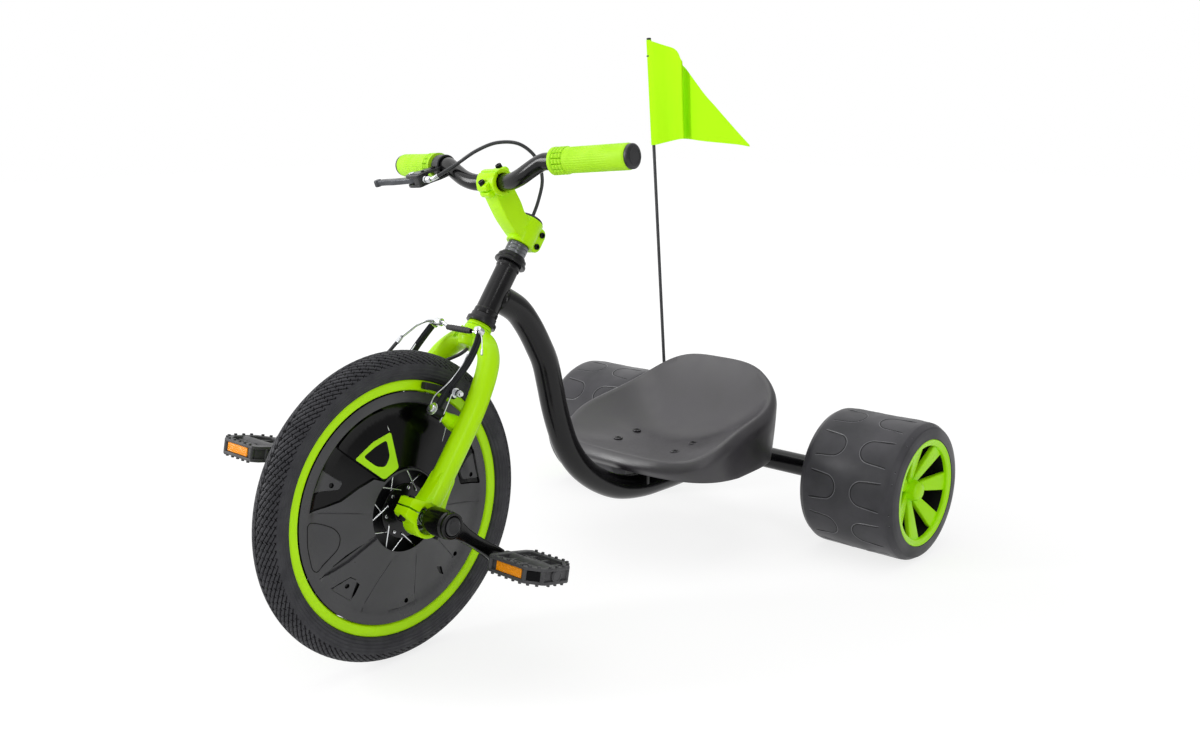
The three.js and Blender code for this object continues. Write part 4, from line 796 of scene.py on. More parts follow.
# Painted alloy blade, dark grey with a soft metallic sheen
blade_paint = new_material("satin_grey_cast_alloy", "#55575b", 0.34, 0.85, grain=(1.2, 0.02),
                           mottle="#45474a", worn=(0.28, 0.42))
blade_length, blade_half = 77, 3.9
blade_shares = [(0.03, 0.086), (-0.104, 0.058), (-0.26, 0.013), (-0.519, -0.026), (-0.74, -0.032),
                (-0.883, -0.052), (-0.974, -0.091), (-1, -0.143), (-0.961, -0.182), (-0.87, -0.175),
                (-0.701, -0.156), (-0.494, -0.156), (-0.286, -0.13), (-0.117, -0.104), (0.03, -0.086)]
blade_side = [(blade_length * x, blade_length * y) for x, y in blade_shares]
blade_tip = stood(disc(5.6, -4.9, 4.9, 2.2), (-0.945 * blade_length, -0.137 * blade_length, 0))
blade_boss = stood(ring(2.7, 7, -blade_half, blade_half, 0.6), (0, 0, 0))
blade = joined(plate(soften(blade_side, 3, 4), -blade_half, blade_half), blade_tip, blade_boss)
make_piece("lever_blade", blade, lever, blade_paint, "brake_lever",
           replaces=["brake_lever"], rounded=1.8)
# A grey plate lies on the bracket's upper face: a painted highlight where its top catches the light
top_highlight_middle = sum((Vector(p) for p in bracket_side), Vector((0, 0))) / len(bracket_side)
top_highlight_side = [tuple(top_highlight_middle + (Vector(p) - top_highlight_middle) * 0.72) for p in bracket_side]
make_piece("bracket_top_highlight", plate(soften(top_highlight_side, 3, 4), 8.3, 9.3), lever, blade_paint, "steering",
           rounded=0.4)
pin = joined(disc(2.5, -8.6, 8.6, 0.4), disc(4.2, 8.5, 10.4, 0.7), disc(4.2, -10.4, -8.5, 0.7))
make_piece("lever_pin", moved(pin, x_to_z), lever, bearing_steel, "steering",
           replaces=["lever_pivot_pin"])
adjuster_profile = [(0, 25.3), (4.6, 25.3), (4.6, 28), (3.6, 28.6), (3.6, 30), (4.6, 30.6), (4.6, 35),
                    (3.2, 41), (0, 41)]
make_piece("adjuster_barrel", revolve(soften(adjuster_profile, 0.5, 2, closed=False), 36), lever,
           ferrule_chrome, "steering", replaces=["barrel_adjuster"])
band_screws = joined(stood(screw(3.2, 3), (24, 20, 8.2)), stood(screw(2.6, 2.5), (18, 6, 8.2)))
make_piece("lever_band_screws", band_screws, lever, black_oxide, "steering")

# Rim brake: two pressed steel arms that swing on posts of the fork, each with a rubber shoe. A
# bent guide tube and a rubber boot cover the wire that draws their tops together.
arm_steel = new_material("black_lacquered_pressed_steel", "#1a1b1e", 0.26, 0.8, grain=(1.4, 0.02),
                         mottle="#26282b", worn=(0.2, 0.36))
shoe_rubber = new_material("moulded_brake_rubber", "#1c1c1e", 0.62, grain=(0.8, 0.05), mottle="#252527")
shoe_forward, shoe_up = 33, 155
shoe_place = Matrix.Translation(at(0, shoe_forward, shoe_up))
wire_forward, wire_up = 34.5, 239.5
clamp_out = 43.4
arm_line = [at(41, 41, 126), at(45, 43, 144), at(49.5, 41.5, 168), at(52, 38, 196),
            at(49.5, 35.5, 220), at(clamp_out, wire_forward, 243)]


def brake_arm():
    """Two folded rails with a dished web between them, an eye for the shoe and a pivot sleeve"""
    web = tube(arm_line, 5.0, 20, 60, squash=0.42, wide=(0, 1, 0))
    rails = []
    for way in (1, -1):
        rail = [p + Vector((1.2, way * 4.0, 0)) for p in arm_line]
        rails.append(tube(rail, 1.5, 12, 60))
    sleeve = moved(ring(4.4, 8, 30, 46, 1.0), along((0, -1, 0), brake_pivot))
    eye = moved(ring(3.3, 8, 38, 50, 0.8), shoe_place)
    return joined(web, *rails, sleeve, eye)


shoe_radius = math.hypot(shoe_forward, shoe_up)
shoe_turn = 90 + math.degrees(math.atan2(shoe_forward, shoe_up))
shoe_half, shoe_span = 4.5, 10
shoe_outline = arc(shoe_radius - shoe_half, shoe_turn - shoe_span, shoe_turn + shoe_span, 12)
shoe_outline += arc(shoe_radius + shoe_half, shoe_turn + shoe_span, shoe_turn - shoe_span, 12)
shoe_block = plate(soften(shoe_outline, 1.5, 3), 16.1, 25.1, "yz")
for word, flip in both_sides:
    body = f"brake_arm_{word}"
    make_piece(f"arm_{word}", moved(brake_arm(), flip), steering, arm_steel, body,
               replaces=[f"brake_arm_{word}"])
    make_piece(f"shoe_{word}", moved(shoe_block, flip), steering, shoe_rubber, body,
               replaces=[f"brake_shoe_{word}"], rounded=1.0)
    post = joined(disc(3, 24, 63, 0.5), disc(6.5, 50.2, 52.2, 0.6), disc(4.8, 52, 60, 0.8, sides=6))
    hardware = [moved(post, shoe_place)]
    pivot = joined(disc(8.6, 46, 47.4, 0.5), disc(5.2, 47.2, 50.2, 1.4))
    hardware.append(moved(pivot, along((0, -1, 0), brake_pivot)))
    hardware.append(tube([at(33, 46, 124), at(37, 49.5, 140), at(47, 47.5, 160), at(51.5, 44, 185),
                          at(50, 42.5, 205)], 0.9, 10, 50))
    hardware.append(tube([at(45, 30, 114), at(48, 33, 128), at(53.5, 40, 150)], 0.9, 10, 30))
    make_piece(f"arm_hardware_{word}", moved(joined(*hardware), flip), steering, bearing_steel, body)
pinch = joined(disc(5.6, -4, 5, 0.8), disc(3.4, 4, 8.5, 0.6, sides=6))
make_piece("pinch_bolt", moved(pinch, along((0, -1, 0), at(clamp_out, wire_forward, 241))),
           steering, bearing_steel, "brake_arm_left")
holder = joined(moved(ring(3.0, 5.4, -5, 5, 0.7), along((1, 0, 0), at(-33, 37.5, 243.2))),
                moved(disc(4.4, -6, 6, 0.8), along((0, -1, 0), at(-42.5, 37, 240.5))))
make_piece("noodle_holder", holder, steering, bearing_steel, "brake_arm_right")
noodle_line = [at(-17.5, wire_forward, 240.5), at(-26, 35.5, 243.5), at(-36, 40.5, 243),
               at(-45, 47, 238.6), at(-51, 54, 227.6), at(-53, 59, 216.4), at(-54, 65.2, 203.6)]
make_piece("guide_tube", tube(noodle_line, 2.5, 20, 80), steering, bearing_steel, "brake_arm_right",
           replaces=["brake_noodle"])
boot_start, boot_length = -16.5, 45
boot_steps, boot_ribs = 45, 9
boot_profile = [(1.5, boot_start)]
for k in range(boot_steps + 1):
    spot = k / boot_steps
    swell = 3.4 + 0.5 * min(1, spot * 5, (1 - spot) * 5)
    boot_profile.append((swell + 0.3 * math.sin(spot * 2 * math.pi * boot_ribs),
                         boot_start + boot_length * spot))
boot_profile.append((2.85, boot_start + boot_length))
boot_place = Matrix.Translation(at(0, wire_forward, wire_up))
make_piece("wire_boot", moved(revolve(boot_profile, 32), boot_place), steering, shoe_rubber,
           "brake_arm_right", replaces=["noodle_boot"])
# The bare wire runs on from the boot through the pinch bolt to a short crimped tail
wire_tail = tube([at(26, wire_forward, wire_up), at(36, wire_forward, wire_up), at(44, 35.8, 239.6),
                  at(53, 38.5, 235.5), at(62, 40.5, 227), at(71, 42, 214.5)], 0.8, 10, 60)
tail_cap = tube([at(70.6, 42, 215), at(75, 42.6, 207.5)], 1.5, 12, 4)
make_piece("wire_tail", joined(wire_tail, tail_cap), steering, bearing_steel, "brake_arm_left")

# Front tyre: black rubber with a dense pattern of slanted blocks over the crown and fine rings
# moulded on its sidewalls; the tube inside doesn't show.
tread_black = new_material("vulcanised_tread_rubber", "#36363a", 0.62, specular=0.35, grain=(1.2, 0.06),
                           mottle="#2f2f33", mottle_size=20, worn=(0.52, 0.72))
tyre_radius, tyre_deep, tyre_half = 200, 21, 22
rim_radius = 164.4
# Degrees round the tyre's section: its whole arc, and the part of it that is tread
tyre_arc, tread_arc = 132, 76
side_steps, crown_steps = 36, 76
angles = [-tyre_arc + (tyre_arc - tread_arc) * k / side_steps for k in range(side_steps)]
angles += [-tread_arc + 2 * tread_arc * k / crown_steps for k in range(crown_steps + 1)]
angles += [tread_arc + (tyre_arc - tread_arc) * (k + 1) / side_steps for k in range(side_steps)]
tyre_profile = [(tyre_radius - tyre_deep + tyre_deep * math.cos(math.radians(a)),
                 tyre_half * math.sin(math.radians(a))) for a in angles]
tyre_profile += [(rim_radius + 0.3, 11.9), (162, 9), (rim_radius + 6, 0), (162, -9),
                 (rim_radius + 0.3, -11.9)]
slant = math.radians(27)
sipe_pitch, sipe_half, sipe_deep = 4.8, 0.6, 1.3
cut_pitch, cut_half, cut_lean = 13.0, 0.62, 2.2
middle_half = 0.8
edge_fade = 6
side_rings, side_swell, side_sunk = 9, 0.34, 0.36
round_length = 2 * math.pi * (tyre_radius - 2)
slant_count = round(round_length * math.sin(slant) / sipe_pitch)
cut_count = round(round_length * math.cos(slant) / cut_pitch)


def sipe(distance, half):
    """The depth of a cut as a share of its full one, at a distance from its middle"""
    return max(0.0, 1 - (max(0.0, distance - half * 0.3) / half) ** 2)


def tread_height(index, turn):
    """Slanted cuts crossed by staggered ones over the crown, and fine rings on the sidewalls"""
    if index >= len(angles):
        return 0
    a = angles[index]
    if abs(a) > tread_arc:
        beyond = (abs(a) - tread_arc) / (tyre_arc - tread_arc)
        return side_swell * math.sin(beyond * math.pi * side_rings) - side_sunk
    across = abs(math.radians(a)) * tyre_deep
    row = turn / (2 * math.pi) * slant_count + across * math.cos(slant) / sipe_pitch
    near_row = abs(row - round(row)) * sipe_pitch
    brick = math.floor(row + 0.5) % 3 / 3
    cut = turn / (2 * math.pi) * cut_count - across * math.sin(slant) / cut_pitch * cut_lean + brick
    near_cut = abs(cut - round(cut)) * cut_pitch
    depth = max(sipe(near_row, sipe_half), sipe(near_cut, cut_half), sipe(across, middle_half))
    edge = min(1.0, (tread_arc - abs(a)) / edge_fade)
    return -sipe_deep * depth * edge


# The floors of the grooves get a darker rubber, as painted shade
painted_shade_black = new_material("painted_shade_groove_rubber", "#141415", 0.85, specular=0.1, grain=(1.5, 0.05),
                            mottle="#121214")
around = 2200
tyre_verts, tyre_faces, tyre_heights = relief(tyre_profile, around, tread_height)
make_piece("tyre_tread", (tyre_verts, tyre_faces), wheel, tread_black, "front_wheel",
           replaces=["front_tyre", "front_inner_tube"], sharp=60,
           kinds=([painted_shade_black], sunk(tyre_faces, tyre_heights, 0.72)))

# Rim: rolled steel hoop with a flat face on each side, in the fork's lime powder coat. Its edges
# stand up round the tyre's beads.
rim_profile = doubled([(157, 10), (rim_radius, 12.2), (rim_radius, 13.9), (161.5, 14.4), (155, 14.4),
                       (152.2, 13.7), (150, 10)])
make_piece("rim_hoop", revolve(soften(rim_profile, 0.7, 3), 300), wheel, powder_lime, "front_wheel",
           replaces=["front_rim"])

# Hub: black steel barrel with two flanges that hold the heads of bright drawn spokes, which are
# laced out to the rim behind the covers.
hub_profile = doubled([(spindle_bore, 42), (15, 42), (15, 24), (35, 24), (35, 21), (15, 21)])
make_piece("hub_shell", revolve(soften(hub_profile, 0.7, 3), 96), wheel, powder_black, "front_wheel",
           replaces=["front_hub"])
# A thin black disc on the hub's middle is painted shade that closes the view through the wheel
make_piece("painted_shade_disc", ring(15.2, 110, -0.6, 0.6, 0.3, 120), wheel, nylon_black, "front_wheel")
spoke_steel = new_material("drawn_stainless_spokes", "#d4d6d8", 0.18, 1.0, grain=(0.5, 0.004),
                           worn=(0.14, 0.24))
spoke_count, spoke_lead = 14, math.radians(48)
hook_radius, rim_hole_radius = 29.5, 148.8
for word, flip in both_sides:
    spokes = []
    for k in range(spoke_count):
        # Every second spoke leaves the flange on its outer side and leads the other way round
        outside = k % 2 == 0
        lead = spoke_lead if outside else -spoke_lead
        start = 2 * math.pi * (k + (0 if word == "left" else 0.5)) / spoke_count
        hook = round_x(25.2 if outside else 19.8, hook_radius, start)
        spokes.append(tube([hook, round_x(4.5 if outside else 2.5, rim_hole_radius, start + lead)], 1.05,
                           10, 4))
        hook_place = Matrix.Translation((0, hook.y, hook.z))
        if outside:
            spokes.append(moved(disc(2.3, 19.2, 21, 0.6, sides=16), hook_place))
            spokes.append(moved(disc(1.3, 20, 25.6, 0.4, sides=12), hook_place))
        else:
            spokes.append(moved(disc(2.3, 24, 25.6, 0.7, sides=16), hook_place))
    make_piece(f"spokes_{word}", moved(joined(*spokes), flip), wheel, spoke_steel, "front_wheel",
               replaces=[f"front_spokes_{word}"])

# Wheel covers: moulded ABS discs clipped inside the rim. A sunk gloss black field takes the upper
# part, with a raised panel in a lime frame; the rest is satin grey with creases.
cover_grey = new_material("moulded_grey_abs", "#3f3f41", 0.32, specular=0.4, grain=(0.9, 0.03),
                          mottle="#3b3b3d", mottle_size=60, worn=(0.26, 0.4))
cover_black = new_material("gloss_black_abs", "#030304", 0.14, specular=0.2, grain=(4.0, 0.015),
                           worn=(0.12, 0.2))
cover_lime = new_material("lime_film_on_abs", "#b2ee10", 0.32, specular=0.25, grain=(2.0, 0.01),
                          mottle="#aae60a", worn=(0.28, 0.38))
cover_radius, cover_hole = 149.3, 52
cover_section = [(cover_hole, 26.6), (120, 12.4), (126, 11.6), (132, 12.2), (137, 13.6), (146, 13.4),
                 (cover_radius, 12.8)]
# Points fill the sheet between the shapes on it: their rows, their pitch and the gap they keep
fill_step, fill_pitch, fill_gap = 6, 7, 2.2


def cover_height(radius):
    """How far out the plain cover stands at a radius"""
    for (r0, x0), (r1, x1) in zip(cover_section, cover_section[1:]):
        if radius <= r1:
            return x0 + (x1 - x0) * max(0.0, radius - r0) / (r1 - r0)
    return cover_section[-1][1]


def polar(radius, degrees):
    return (radius * math.cos(math.radians(degrees)), radius * math.sin(math.radians(degrees)))


def inset(points, distance):
    """The outline moved inward along the normals at its corners"""
    area = sum(a[0] * b[1] - b[0] * a[1] for a, b in zip(points, points[1:] + points[:1]))
    turn = 1 if area > 0 else -1
    made = []
    count = len(points)
    for i, point in enumerate(points):
        before = Vector(point) - Vector(points[i - 1])
        after = Vector(points[(i + 1) % count]) - Vector(point)
        if before.length < 1e-6 or after.length < 1e-6:
            continue
        n1 = Vector((-before.y, before.x)).normalized() * turn
        n2 = Vector((-after.y, after.x)).normalized() * turn
        middle = n1 + n2
        if middle.length < 1e-6:
            continue
        middle.normalize()
        reach = distance / max(0.5, middle.dot(n1))
        made.append((point[0] + middle.x * reach, point[1] + middle.y * reach))
    return made


def ribbon(points, width):
    """A thin outline on both sides of an open line, tapered to its ends"""
    left, right_side = [], []
    for i, point in enumerate(points):
        run = Vector(points[min(i + 1, len(points) - 1)]) - Vector(points[max(i - 1, 0)])
        normal = Vector((-run.y, run.x)).normalized()
        half = width / 2 * (0.25 if i in (0, len(points) - 1) else 1)
        left.append((point[0] + normal.x * half, point[1] + normal.y * half))
        right_side.append((point[0] - normal.x * half, point[1] - normal.y * half))
    return left + right_side[::-1]


def circle(centre, radius, sides=20):
    return [(centre[0] + radius * math.cos(2 * math.pi * k / sides),
             centre[1] + radius * math.sin(2 * math.pi * k / sides)) for k in range(sides)]


def inside(point, outline):
    """Whether the point lies in the outline, which an odd count of edges on its one side tells"""
    x, y = point
    hit = False
    for (x0, y0), (x1, y1) in zip(outline, outline[1:] + outline[:1]):
        if (y0 > y) != (y1 > y) and x < (x1 - x0) * (y - y0) / (y1 - y0) + x0:
            hit = not hit
    return hit


def edge_distance(point, outline):
    """How far the point is from the nearest edge of the outline"""
    best = 1e9
    p = Vector(point)
    for a, b in zip(outline, outline[1:] + outline[:1]):
        a, b = Vector(a), Vector(b)
        run = b - a
        share = max(0.0, min(1.0, (p - a).dot(run) / max(run.length_squared, 1e-9)))
        best = min(best, (p - a - run * share).length)
    return best


# Regions from the outer one to the details on it: outline, height in mm, wall width, colour (the black of
# some is painted shade)
grey, black, lime_film = 0, 1, 2
recess = arc(136.5, 168, 20, 60) + [polar(104, 14), polar(80, 24), polar(56, 34), polar(54, 60)]
recess += arc(54.5, 74, 124, 12) + [(-44, 51), (-66, 44), (-90, 33), (-110, 30)]
panel = soften([polar(133.5, 132), polar(135.5, 120), polar(135.5, 107), polar(134, 96), (-7.5, 56),
                (-33, 46.5)], 6, 5)
u_frame = soften([(-66, 80), (-38, 96), (-10, 103), (-7.5, 58), (-31, 48)], 3, 4)
u_window = soften([(-55, 81), (-36, 90), (-18.5, 95), (-18, 74), (-27, 63), (-39, 66)], 5, 5)
tab_left = soften([polar(136, 145), (-84, 55), (-91, 47), polar(136, 158)], 3, 4)
tab_right = soften([polar(136, 20), (100, 26), (106, 12), polar(136, 3)], 4, 4)
field_right = soften([polar(138, 22), (94, 30), (100, 8), polar(138, 0)], 4, 4)
pick = soften([(-137, 18), (-117, 11), (-101, 2), (-94, -10), (-97, -25), (-126, -48), (-134, -43),
               (-139, -12)], 8, 5)
slash = [(-122, -56), (-88, -36), (-46, -18), (-47, -25), (-83, -46), (-109, -56)]
pocket_low = soften([(-108, -76), (-80, -66), (-69, -74), (-80, -100)], 4, 4)
pocket_mark = [(-79, -97), (-72, -76), (-68, -80), (-74, -92)]
dark_low = soften([(56, -94), (66, -97), (70, -110), (63, -106)], 1.5, 3)
cover_creases = [[polar(54, 169), polar(95, 168.4), polar(134, 168)],
                 [(-18, -52), (-40, -80), (-66, -118)], [(15, -54), (18, -95), (20, -130)],
                 [(54, -54), (72, -73), (88, -91)], [(55, -7.6), (100, -17), (134, -25)],
                 [(-24, -130), (0, -133), (20, -130)]]
holes = [(-100, 55), (-85, -78), (6, -126), (91, -87), (124, 15)]
regions = [(recess, -3.0, 1.6, black), (field_right, -3.0, 1.2, black), (panel, 0.2, 1.4, black),
           (u_frame, 0.9, 0.5, lime_film), (u_window, -0.6, 0.9, black), (tab_left, -0.6, 1.2, grey),
           (tab_right, -0.8, 1.2, grey), (slash, -3.5, 1.0, grey), (pocket_low, -0.8, 1.0, grey),
           (pocket_mark, -2.5, 0.6, black), (dark_low, -2.0, 0.6, black)]
regions += [(ribbon(line, 2.2), -0.7, 0.9, grey) for line in cover_creases]
regions.append((pick, 0.0, 0.1, grey))
# Black ribbons along an edge of the slash and of the low pocket: painted shade in those recesses
slash_line = [(-124, -58), (-104, -48), (-84, -38), (-64, -28), (-47, -20)]
pocket_line = [(-107, -75), (-94, -71), (-81, -67), (-73, -73)]
regions += [(ribbon(slash_line, 2.6), -2.2, 0.8, black), (ribbon(pocket_line, 1.8), -1.2, 0.6, black)]
# Black dots stand where the holes are: painted shade in place of openings
regions += [(circle(hole, 3.2), -3.0, 0.5, black) for hole in holes]


def cover_shape():
    """A net of triangles that keeps every outline as an edge, then lifted to its heights"""
    points, edges = [], []

    def add_loop(loop):
        first = len(points)
        points.extend(Vector(p) for p in loop)
        for i in range(len(loop)):
            edges.append((first + i, first + (i + 1) % len(loop)))

    def dense(loop):
        made = []
        for a, b in zip(loop, loop[1:] + loop[:1]):
            count = max(1, int((Vector(b) - Vector(a)).length / fill_step))
            for k in range(count):
                share = k / count
                made.append((a[0] + (b[0] - a[0]) * share, a[1] + (b[1] - a[1]) * share))
        return made

    add_loop(circle((0, 0), cover_radius, 240))
    add_loop(circle((0, 0), cover_hole, 120))
    for radius in (137, 132, 126, 120):
        add_loop(circle((0, 0), radius, 200))
    levels = []
    for loop, height, wall, colour_and_shade in regions:
        loop = dense(loop)
        floor_loop = inset(loop, wall)
        add_loop(loop)
        add_loop(floor_loop)
        levels.append((loop, floor_loop, height, colour_and_shade))
    for radius in range(cover_hole + fill_step, int(cover_radius), fill_step):
        count = int(2 * math.pi * radius / fill_pitch)
        for k in range(count):
            spot = polar(radius, 360 * k / count)
            if all(edge_distance(spot, loop) > fill_gap for loop, _, _, _ in levels):
                points.append(Vector(spot))
    verts, _, faces, _, _, _ = delaunay_2d_cdt(points, edges, [], 0, 1e-4)
    placed = []
    for vert in verts:
        height = 0.0
        for loop, floor_loop, level, _ in levels:
            if inside(vert, floor_loop) or edge_distance(vert, floor_loop) < 0.02:
                height = level
        placed.append(Vector((cover_height(vert.length) + height, vert.x, vert.y)))
    kept_faces, colours_and_shade = [], []
    for face in faces:
        centre = sum((verts[i] for i in face), Vector((0, 0))) / len(face)
        if not cover_hole < centre.length < cover_radius:
            continue
        colour_and_shade = grey
        for loop, _, _, region_colour_and_shade in levels:
            if inside(centre, loop):
                colour_and_shade = region_colour_and_shade
        kept_faces.append(tuple(face))
        colours_and_shade.append(colour_and_shade)
    return placed, kept_faces, colours_and_shade


cover_verts, cover_faces, cover_colours_and_shade = cover_shape()
pick_bead = [Vector((cover_height(Vector(p).length) + 0.1, p[0], p[1])) for p in pick + pick[:1]]
for word, flip in both_sides:
    make_piece(f"cover_{word}", moved((cover_verts, cover_faces), flip), wheel, cover_grey,
               "front_wheel", replaces=[f"wheel_cover_{word}"],
               sharp=25, kinds=([cover_black, cover_lime], cover_colours_and_shade))
    make_piece(f"cover_moulding_{word}", moved(tube(pick_bead, 0.55, 8, 160), flip), wheel,
               cover_black, "front_wheel")

# Spindle and cranks: a steel spindle through hub and bearings, with forged cranks pressed on its
# ends and gloss black lacquer over them.
make_piece("spindle_rod", disc(8.5, -111, 111, 0.6), wheel, bearing_steel, "front_wheel",
           replaces=["crank_spindle"])
crank_turn = math.radians(38.3)
crank = wheel @ Matrix.Rotation(-crank_turn, 4, "X")
crank_length = 98
boss_profile = [(8.9, 76), (16.6, 76), (17.5, 78), (17.5, 106), (16.2, 109), (16.2, 111), (17, 112),
                (16.4, 115), (13, 115), (12, 113.4), (0, 113.4)]
boss_shape = revolve(soften(boss_profile, 0.8, 3, closed=False), 72, closed=False)
arm_side = [(6, -14), (16, -12), (30, -9.4), (50, -8.4), (75, -9), (90, -10.6)]
arm_outline = arm_side + arc(11.5, -68, 68, 20, (crank_length, 0))
arm_outline += [(y, -z) for y, z in reversed(arm_side)]
arm_shape = plate(arm_outline, 100, 113, "yz")
dust_profile = [(0, 113.2), (11.4, 113.2), (11.4, 115.6), (8.5, 116.8), (7, 115.8), (0, 116.2)]
dust_cap = revolve(soften(dust_profile, 0.6, 3, closed=False), 48, closed=False)
half_turn = Matrix.Diagonal((-1, -1, 1, 1))
crank_black = new_material("black_lacquered_forged_steel", "#050506", 0.16, specular=0.3,
                           grain=(5.0, 0.004), worn=(0.12, 0.22))
for word, flip in (("left", Matrix.Identity(4)), ("right", half_turn)):
    make_piece(f"crank_arm_{word}", moved(arm_shape, flip), crank, crank_black, "front_wheel",
               replaces=[f"crank_{word}"], rounded=2.6)
    make_piece(f"crank_boss_{word}", moved(boss_shape, flip), crank, crank_black, "front_wheel")
    make_piece(f"crank_cap_{word}", moved(dust_cap, flip), crank, nylon_black, "front_wheel")

# Pedals: moulded grey nylon cages on steel axles, with studs along their edges, a window in each
# slanted corner and an amber reflector set in the front and back bars.
pedal_nylon = new_material("moulded_grey_nylon", "#464648", 0.5, specular=0.4, grain=(0.8, 0.04),
                           mottle="#3f3f41", mottle_size=15, worn=(0.42, 0.58))
amber = new_material("moulded_amber_acrylic", "#ff9c08", 0.2, specular=0.3)
# The reflector's prisms stand 2.5 mm apart
lens_place = add_node(amber, "ShaderNodeTexCoord").outputs["Object"]
prisms = add_node(amber, "ShaderNodeTexVoronoi", {"Scale": 1000 / 2.5, "Randomness": 0.0},
                  {"Vector": lens_place})
prism_bump = add_node(amber, "ShaderNodeBump", {"Strength": 0.8, "Distance": 0.0012},
                      {"Height": prisms.outputs["Distance"]})
feed(amber, prism_bump.outputs["Normal"], "Normal")
pedal_inner, pedal_outer = 124, 214
rail_low, rail_high, rail_back = 6.2, 10.2, 8.5
post_radius, post_half = 3.3, 6.6
bar_half_wide, bar_half_tall = 34, 7
stud_pitch = 11.5
pedal_plan = doubled([(pedal_inner + 4, -30), (pedal_inner + 9, -38.6), (pedal_inner + 71, -38.6),
                      (pedal_outer - 2, -23), (pedal_outer, -19)])
pedal_middle = Vector((pedal_inner + 45, 0))


def ring_wall(outer, inner, low, high):
    """A wall between two outlines with the same number of corners"""
    count = len(outer)
    verts = [Vector((x, y, z)) for z in (low, high) for line in (outer, inner) for x, y in line]
    faces = []
    for k in range(count):
        n = (k + 1) % count
        faces += [(k, n, count + n, count + k),
                  (2 * count + k, 2 * count + n, 3 * count + n, 3 * count + k),
                  (k, n, 2 * count + n, 2 * count + k),
                  (count + k, count + n, 3 * count + n, 3 * count + k)]
    return verts, faces


def bar_between(start, end, half, low, high):
    """A straight bar in the pedal's plan"""
    run = (Vector(end) - Vector(start)).normalized() * half
    normal = Vector((-run.y, run.x))
    corners = [Vector(start) - run + normal, Vector(start) - run - normal, Vector(end) + run - normal,
               Vector(end) + run + normal]
    return plate([(c.x, c.y) for c in corners], low, high)


def pedal_cage():
    """Top and bottom rails on one plan, a wall set back between them, posts and cross bars"""
    back = inset(pedal_plan, 3.2)
    deep = inset(pedal_plan, rail_back)
    parts = [ring_wall(pedal_plan, deep, rail_low, rail_high),
             ring_wall(pedal_plan, deep, -rail_high, -rail_low),
             ring_wall(back, deep, -post_half, post_half)]
    for k in (1, 2, 3, 6, 7, 8):
        corner = Vector(pedal_plan[k])
        spot = corner + (pedal_middle - corner).normalized() * 3.4
        post = disc(post_radius, -post_half, post_half, 0.3, sides=16)
        parts.append(stood(post, (spot.x, spot.y, 0)))
    for x in (pedal_inner + 25, pedal_inner + 46, pedal_inner + 67):
        parts.append(block((x - 2.4, -bar_half_wide, -bar_half_tall),
                           (x + 2.4, bar_half_wide, bar_half_tall)))
    for way in (1, -1):
        parts.append(bar_between((pedal_inner + 4, 19.5 * way), (pedal_outer - 10, 10.5 * way), 1.8,
                                 -bar_half_tall, bar_half_tall))
    return joined(*parts)


def pedal_studs():
    """Pegs along both rails, above and below, for the sole to bite on"""
    studs = []
    for a, b in zip(pedal_plan, pedal_plan[1:]):
        run = Vector(b) - Vector(a)
        stud_count = int(run.length / stud_pitch)
        for k in range(stud_count):
            spot = Vector(a) + run * (k + 0.5) / stud_count
            spot += (pedal_middle - spot).normalized() * 2.2
            for way in (1, -1):
                stud = disc(2.1, 9.6, 12.4, 0.6, sides=12)
                studs.append(moved(stud, along((0, 0, way), (spot.x, spot.y, 0))))
    return joined(*studs)


def pedal_windows():
    """The windows in the slanted walls, as dark blocks of painted shade"""
    pockets = []
    for way in (1, -1):
        start = Vector((pedal_inner + 73, -34.2 * way))
        end = Vector((pedal_outer - 6, -24.0 * way))
        pockets.append(bar_between(start, end, 1.1, -5.2, 5.2))
    return joined(*pockets)


pedal_tilt = Matrix.Rotation(math.radians(26.3), 4, "X")
core = joined(ring(5.8, 10.4, pedal_inner, pedal_outer - 8, 1),
              disc(8.4, pedal_outer - 10, pedal_outer, 1.4),
              ring(5.4, 6.6, pedal_outer - 1, pedal_outer + 0.5, 0.3))
lens_in, lens_out, lens_half = 34, 36.8, 5.9
lenses = joined(*[block((pedal_inner + 21, low, -lens_half), (pedal_inner + 65, high, lens_half))
                  for low, high in ((lens_in, lens_out), (-lens_out, -lens_in))])
for word, flip in both_sides:
    end = crank_length if word == "left" else -crank_length
    pedal = crank @ Matrix.Translation((0, end, 0)) @ pedal_tilt
    body = f"pedal_{word}"
    make_piece(f"pedal_cage_{word}", moved(pedal_cage(), flip), pedal, pedal_nylon, body,
               replaces=[f"pedal_{word}"], rounded=0.9)
    make_piece(f"pedal_core_{word}", moved(core, flip), pedal, pedal_nylon, body)
    make_piece(f"pedal_studs_{word}", moved(pedal_studs(), flip), pedal, pedal_nylon, body,
               rounded=0.7)
    # The windows are painted shade
    make_piece(f"pedal_windows_{word}", moved(pedal_windows(), flip), pedal, painted_shade_black, body)
    make_piece(f"pedal_reflectors_{word}", moved(lenses, flip), pedal, amber, body, rounded=0.6)
    make_piece(f"pedal_axle_rod_{word}", moved(disc(5.5, 102, pedal_outer - 4.5, 0.6), flip), pedal,
               bearing_steel, "front_wheel", replaces=[f"pedal_axle_{word}"])

# Rear axle: ground steel rod that lies still in the frame's cross tube. A collar on each side keeps
# the wheel off the tube, and the wheels spin on the rod.
axle_profile = doubled([(0, 347), (6, 347), (6, 189.4), (9.5, 189.4), (9.5, 183.3), (6, 183.3)])
make_piece("axle_rod", revolve(soften(axle_profile, 0.5, 3, closed=False), 40), rear, bearing_steel,
           "trike_frame", replaces=["rear_axle"])
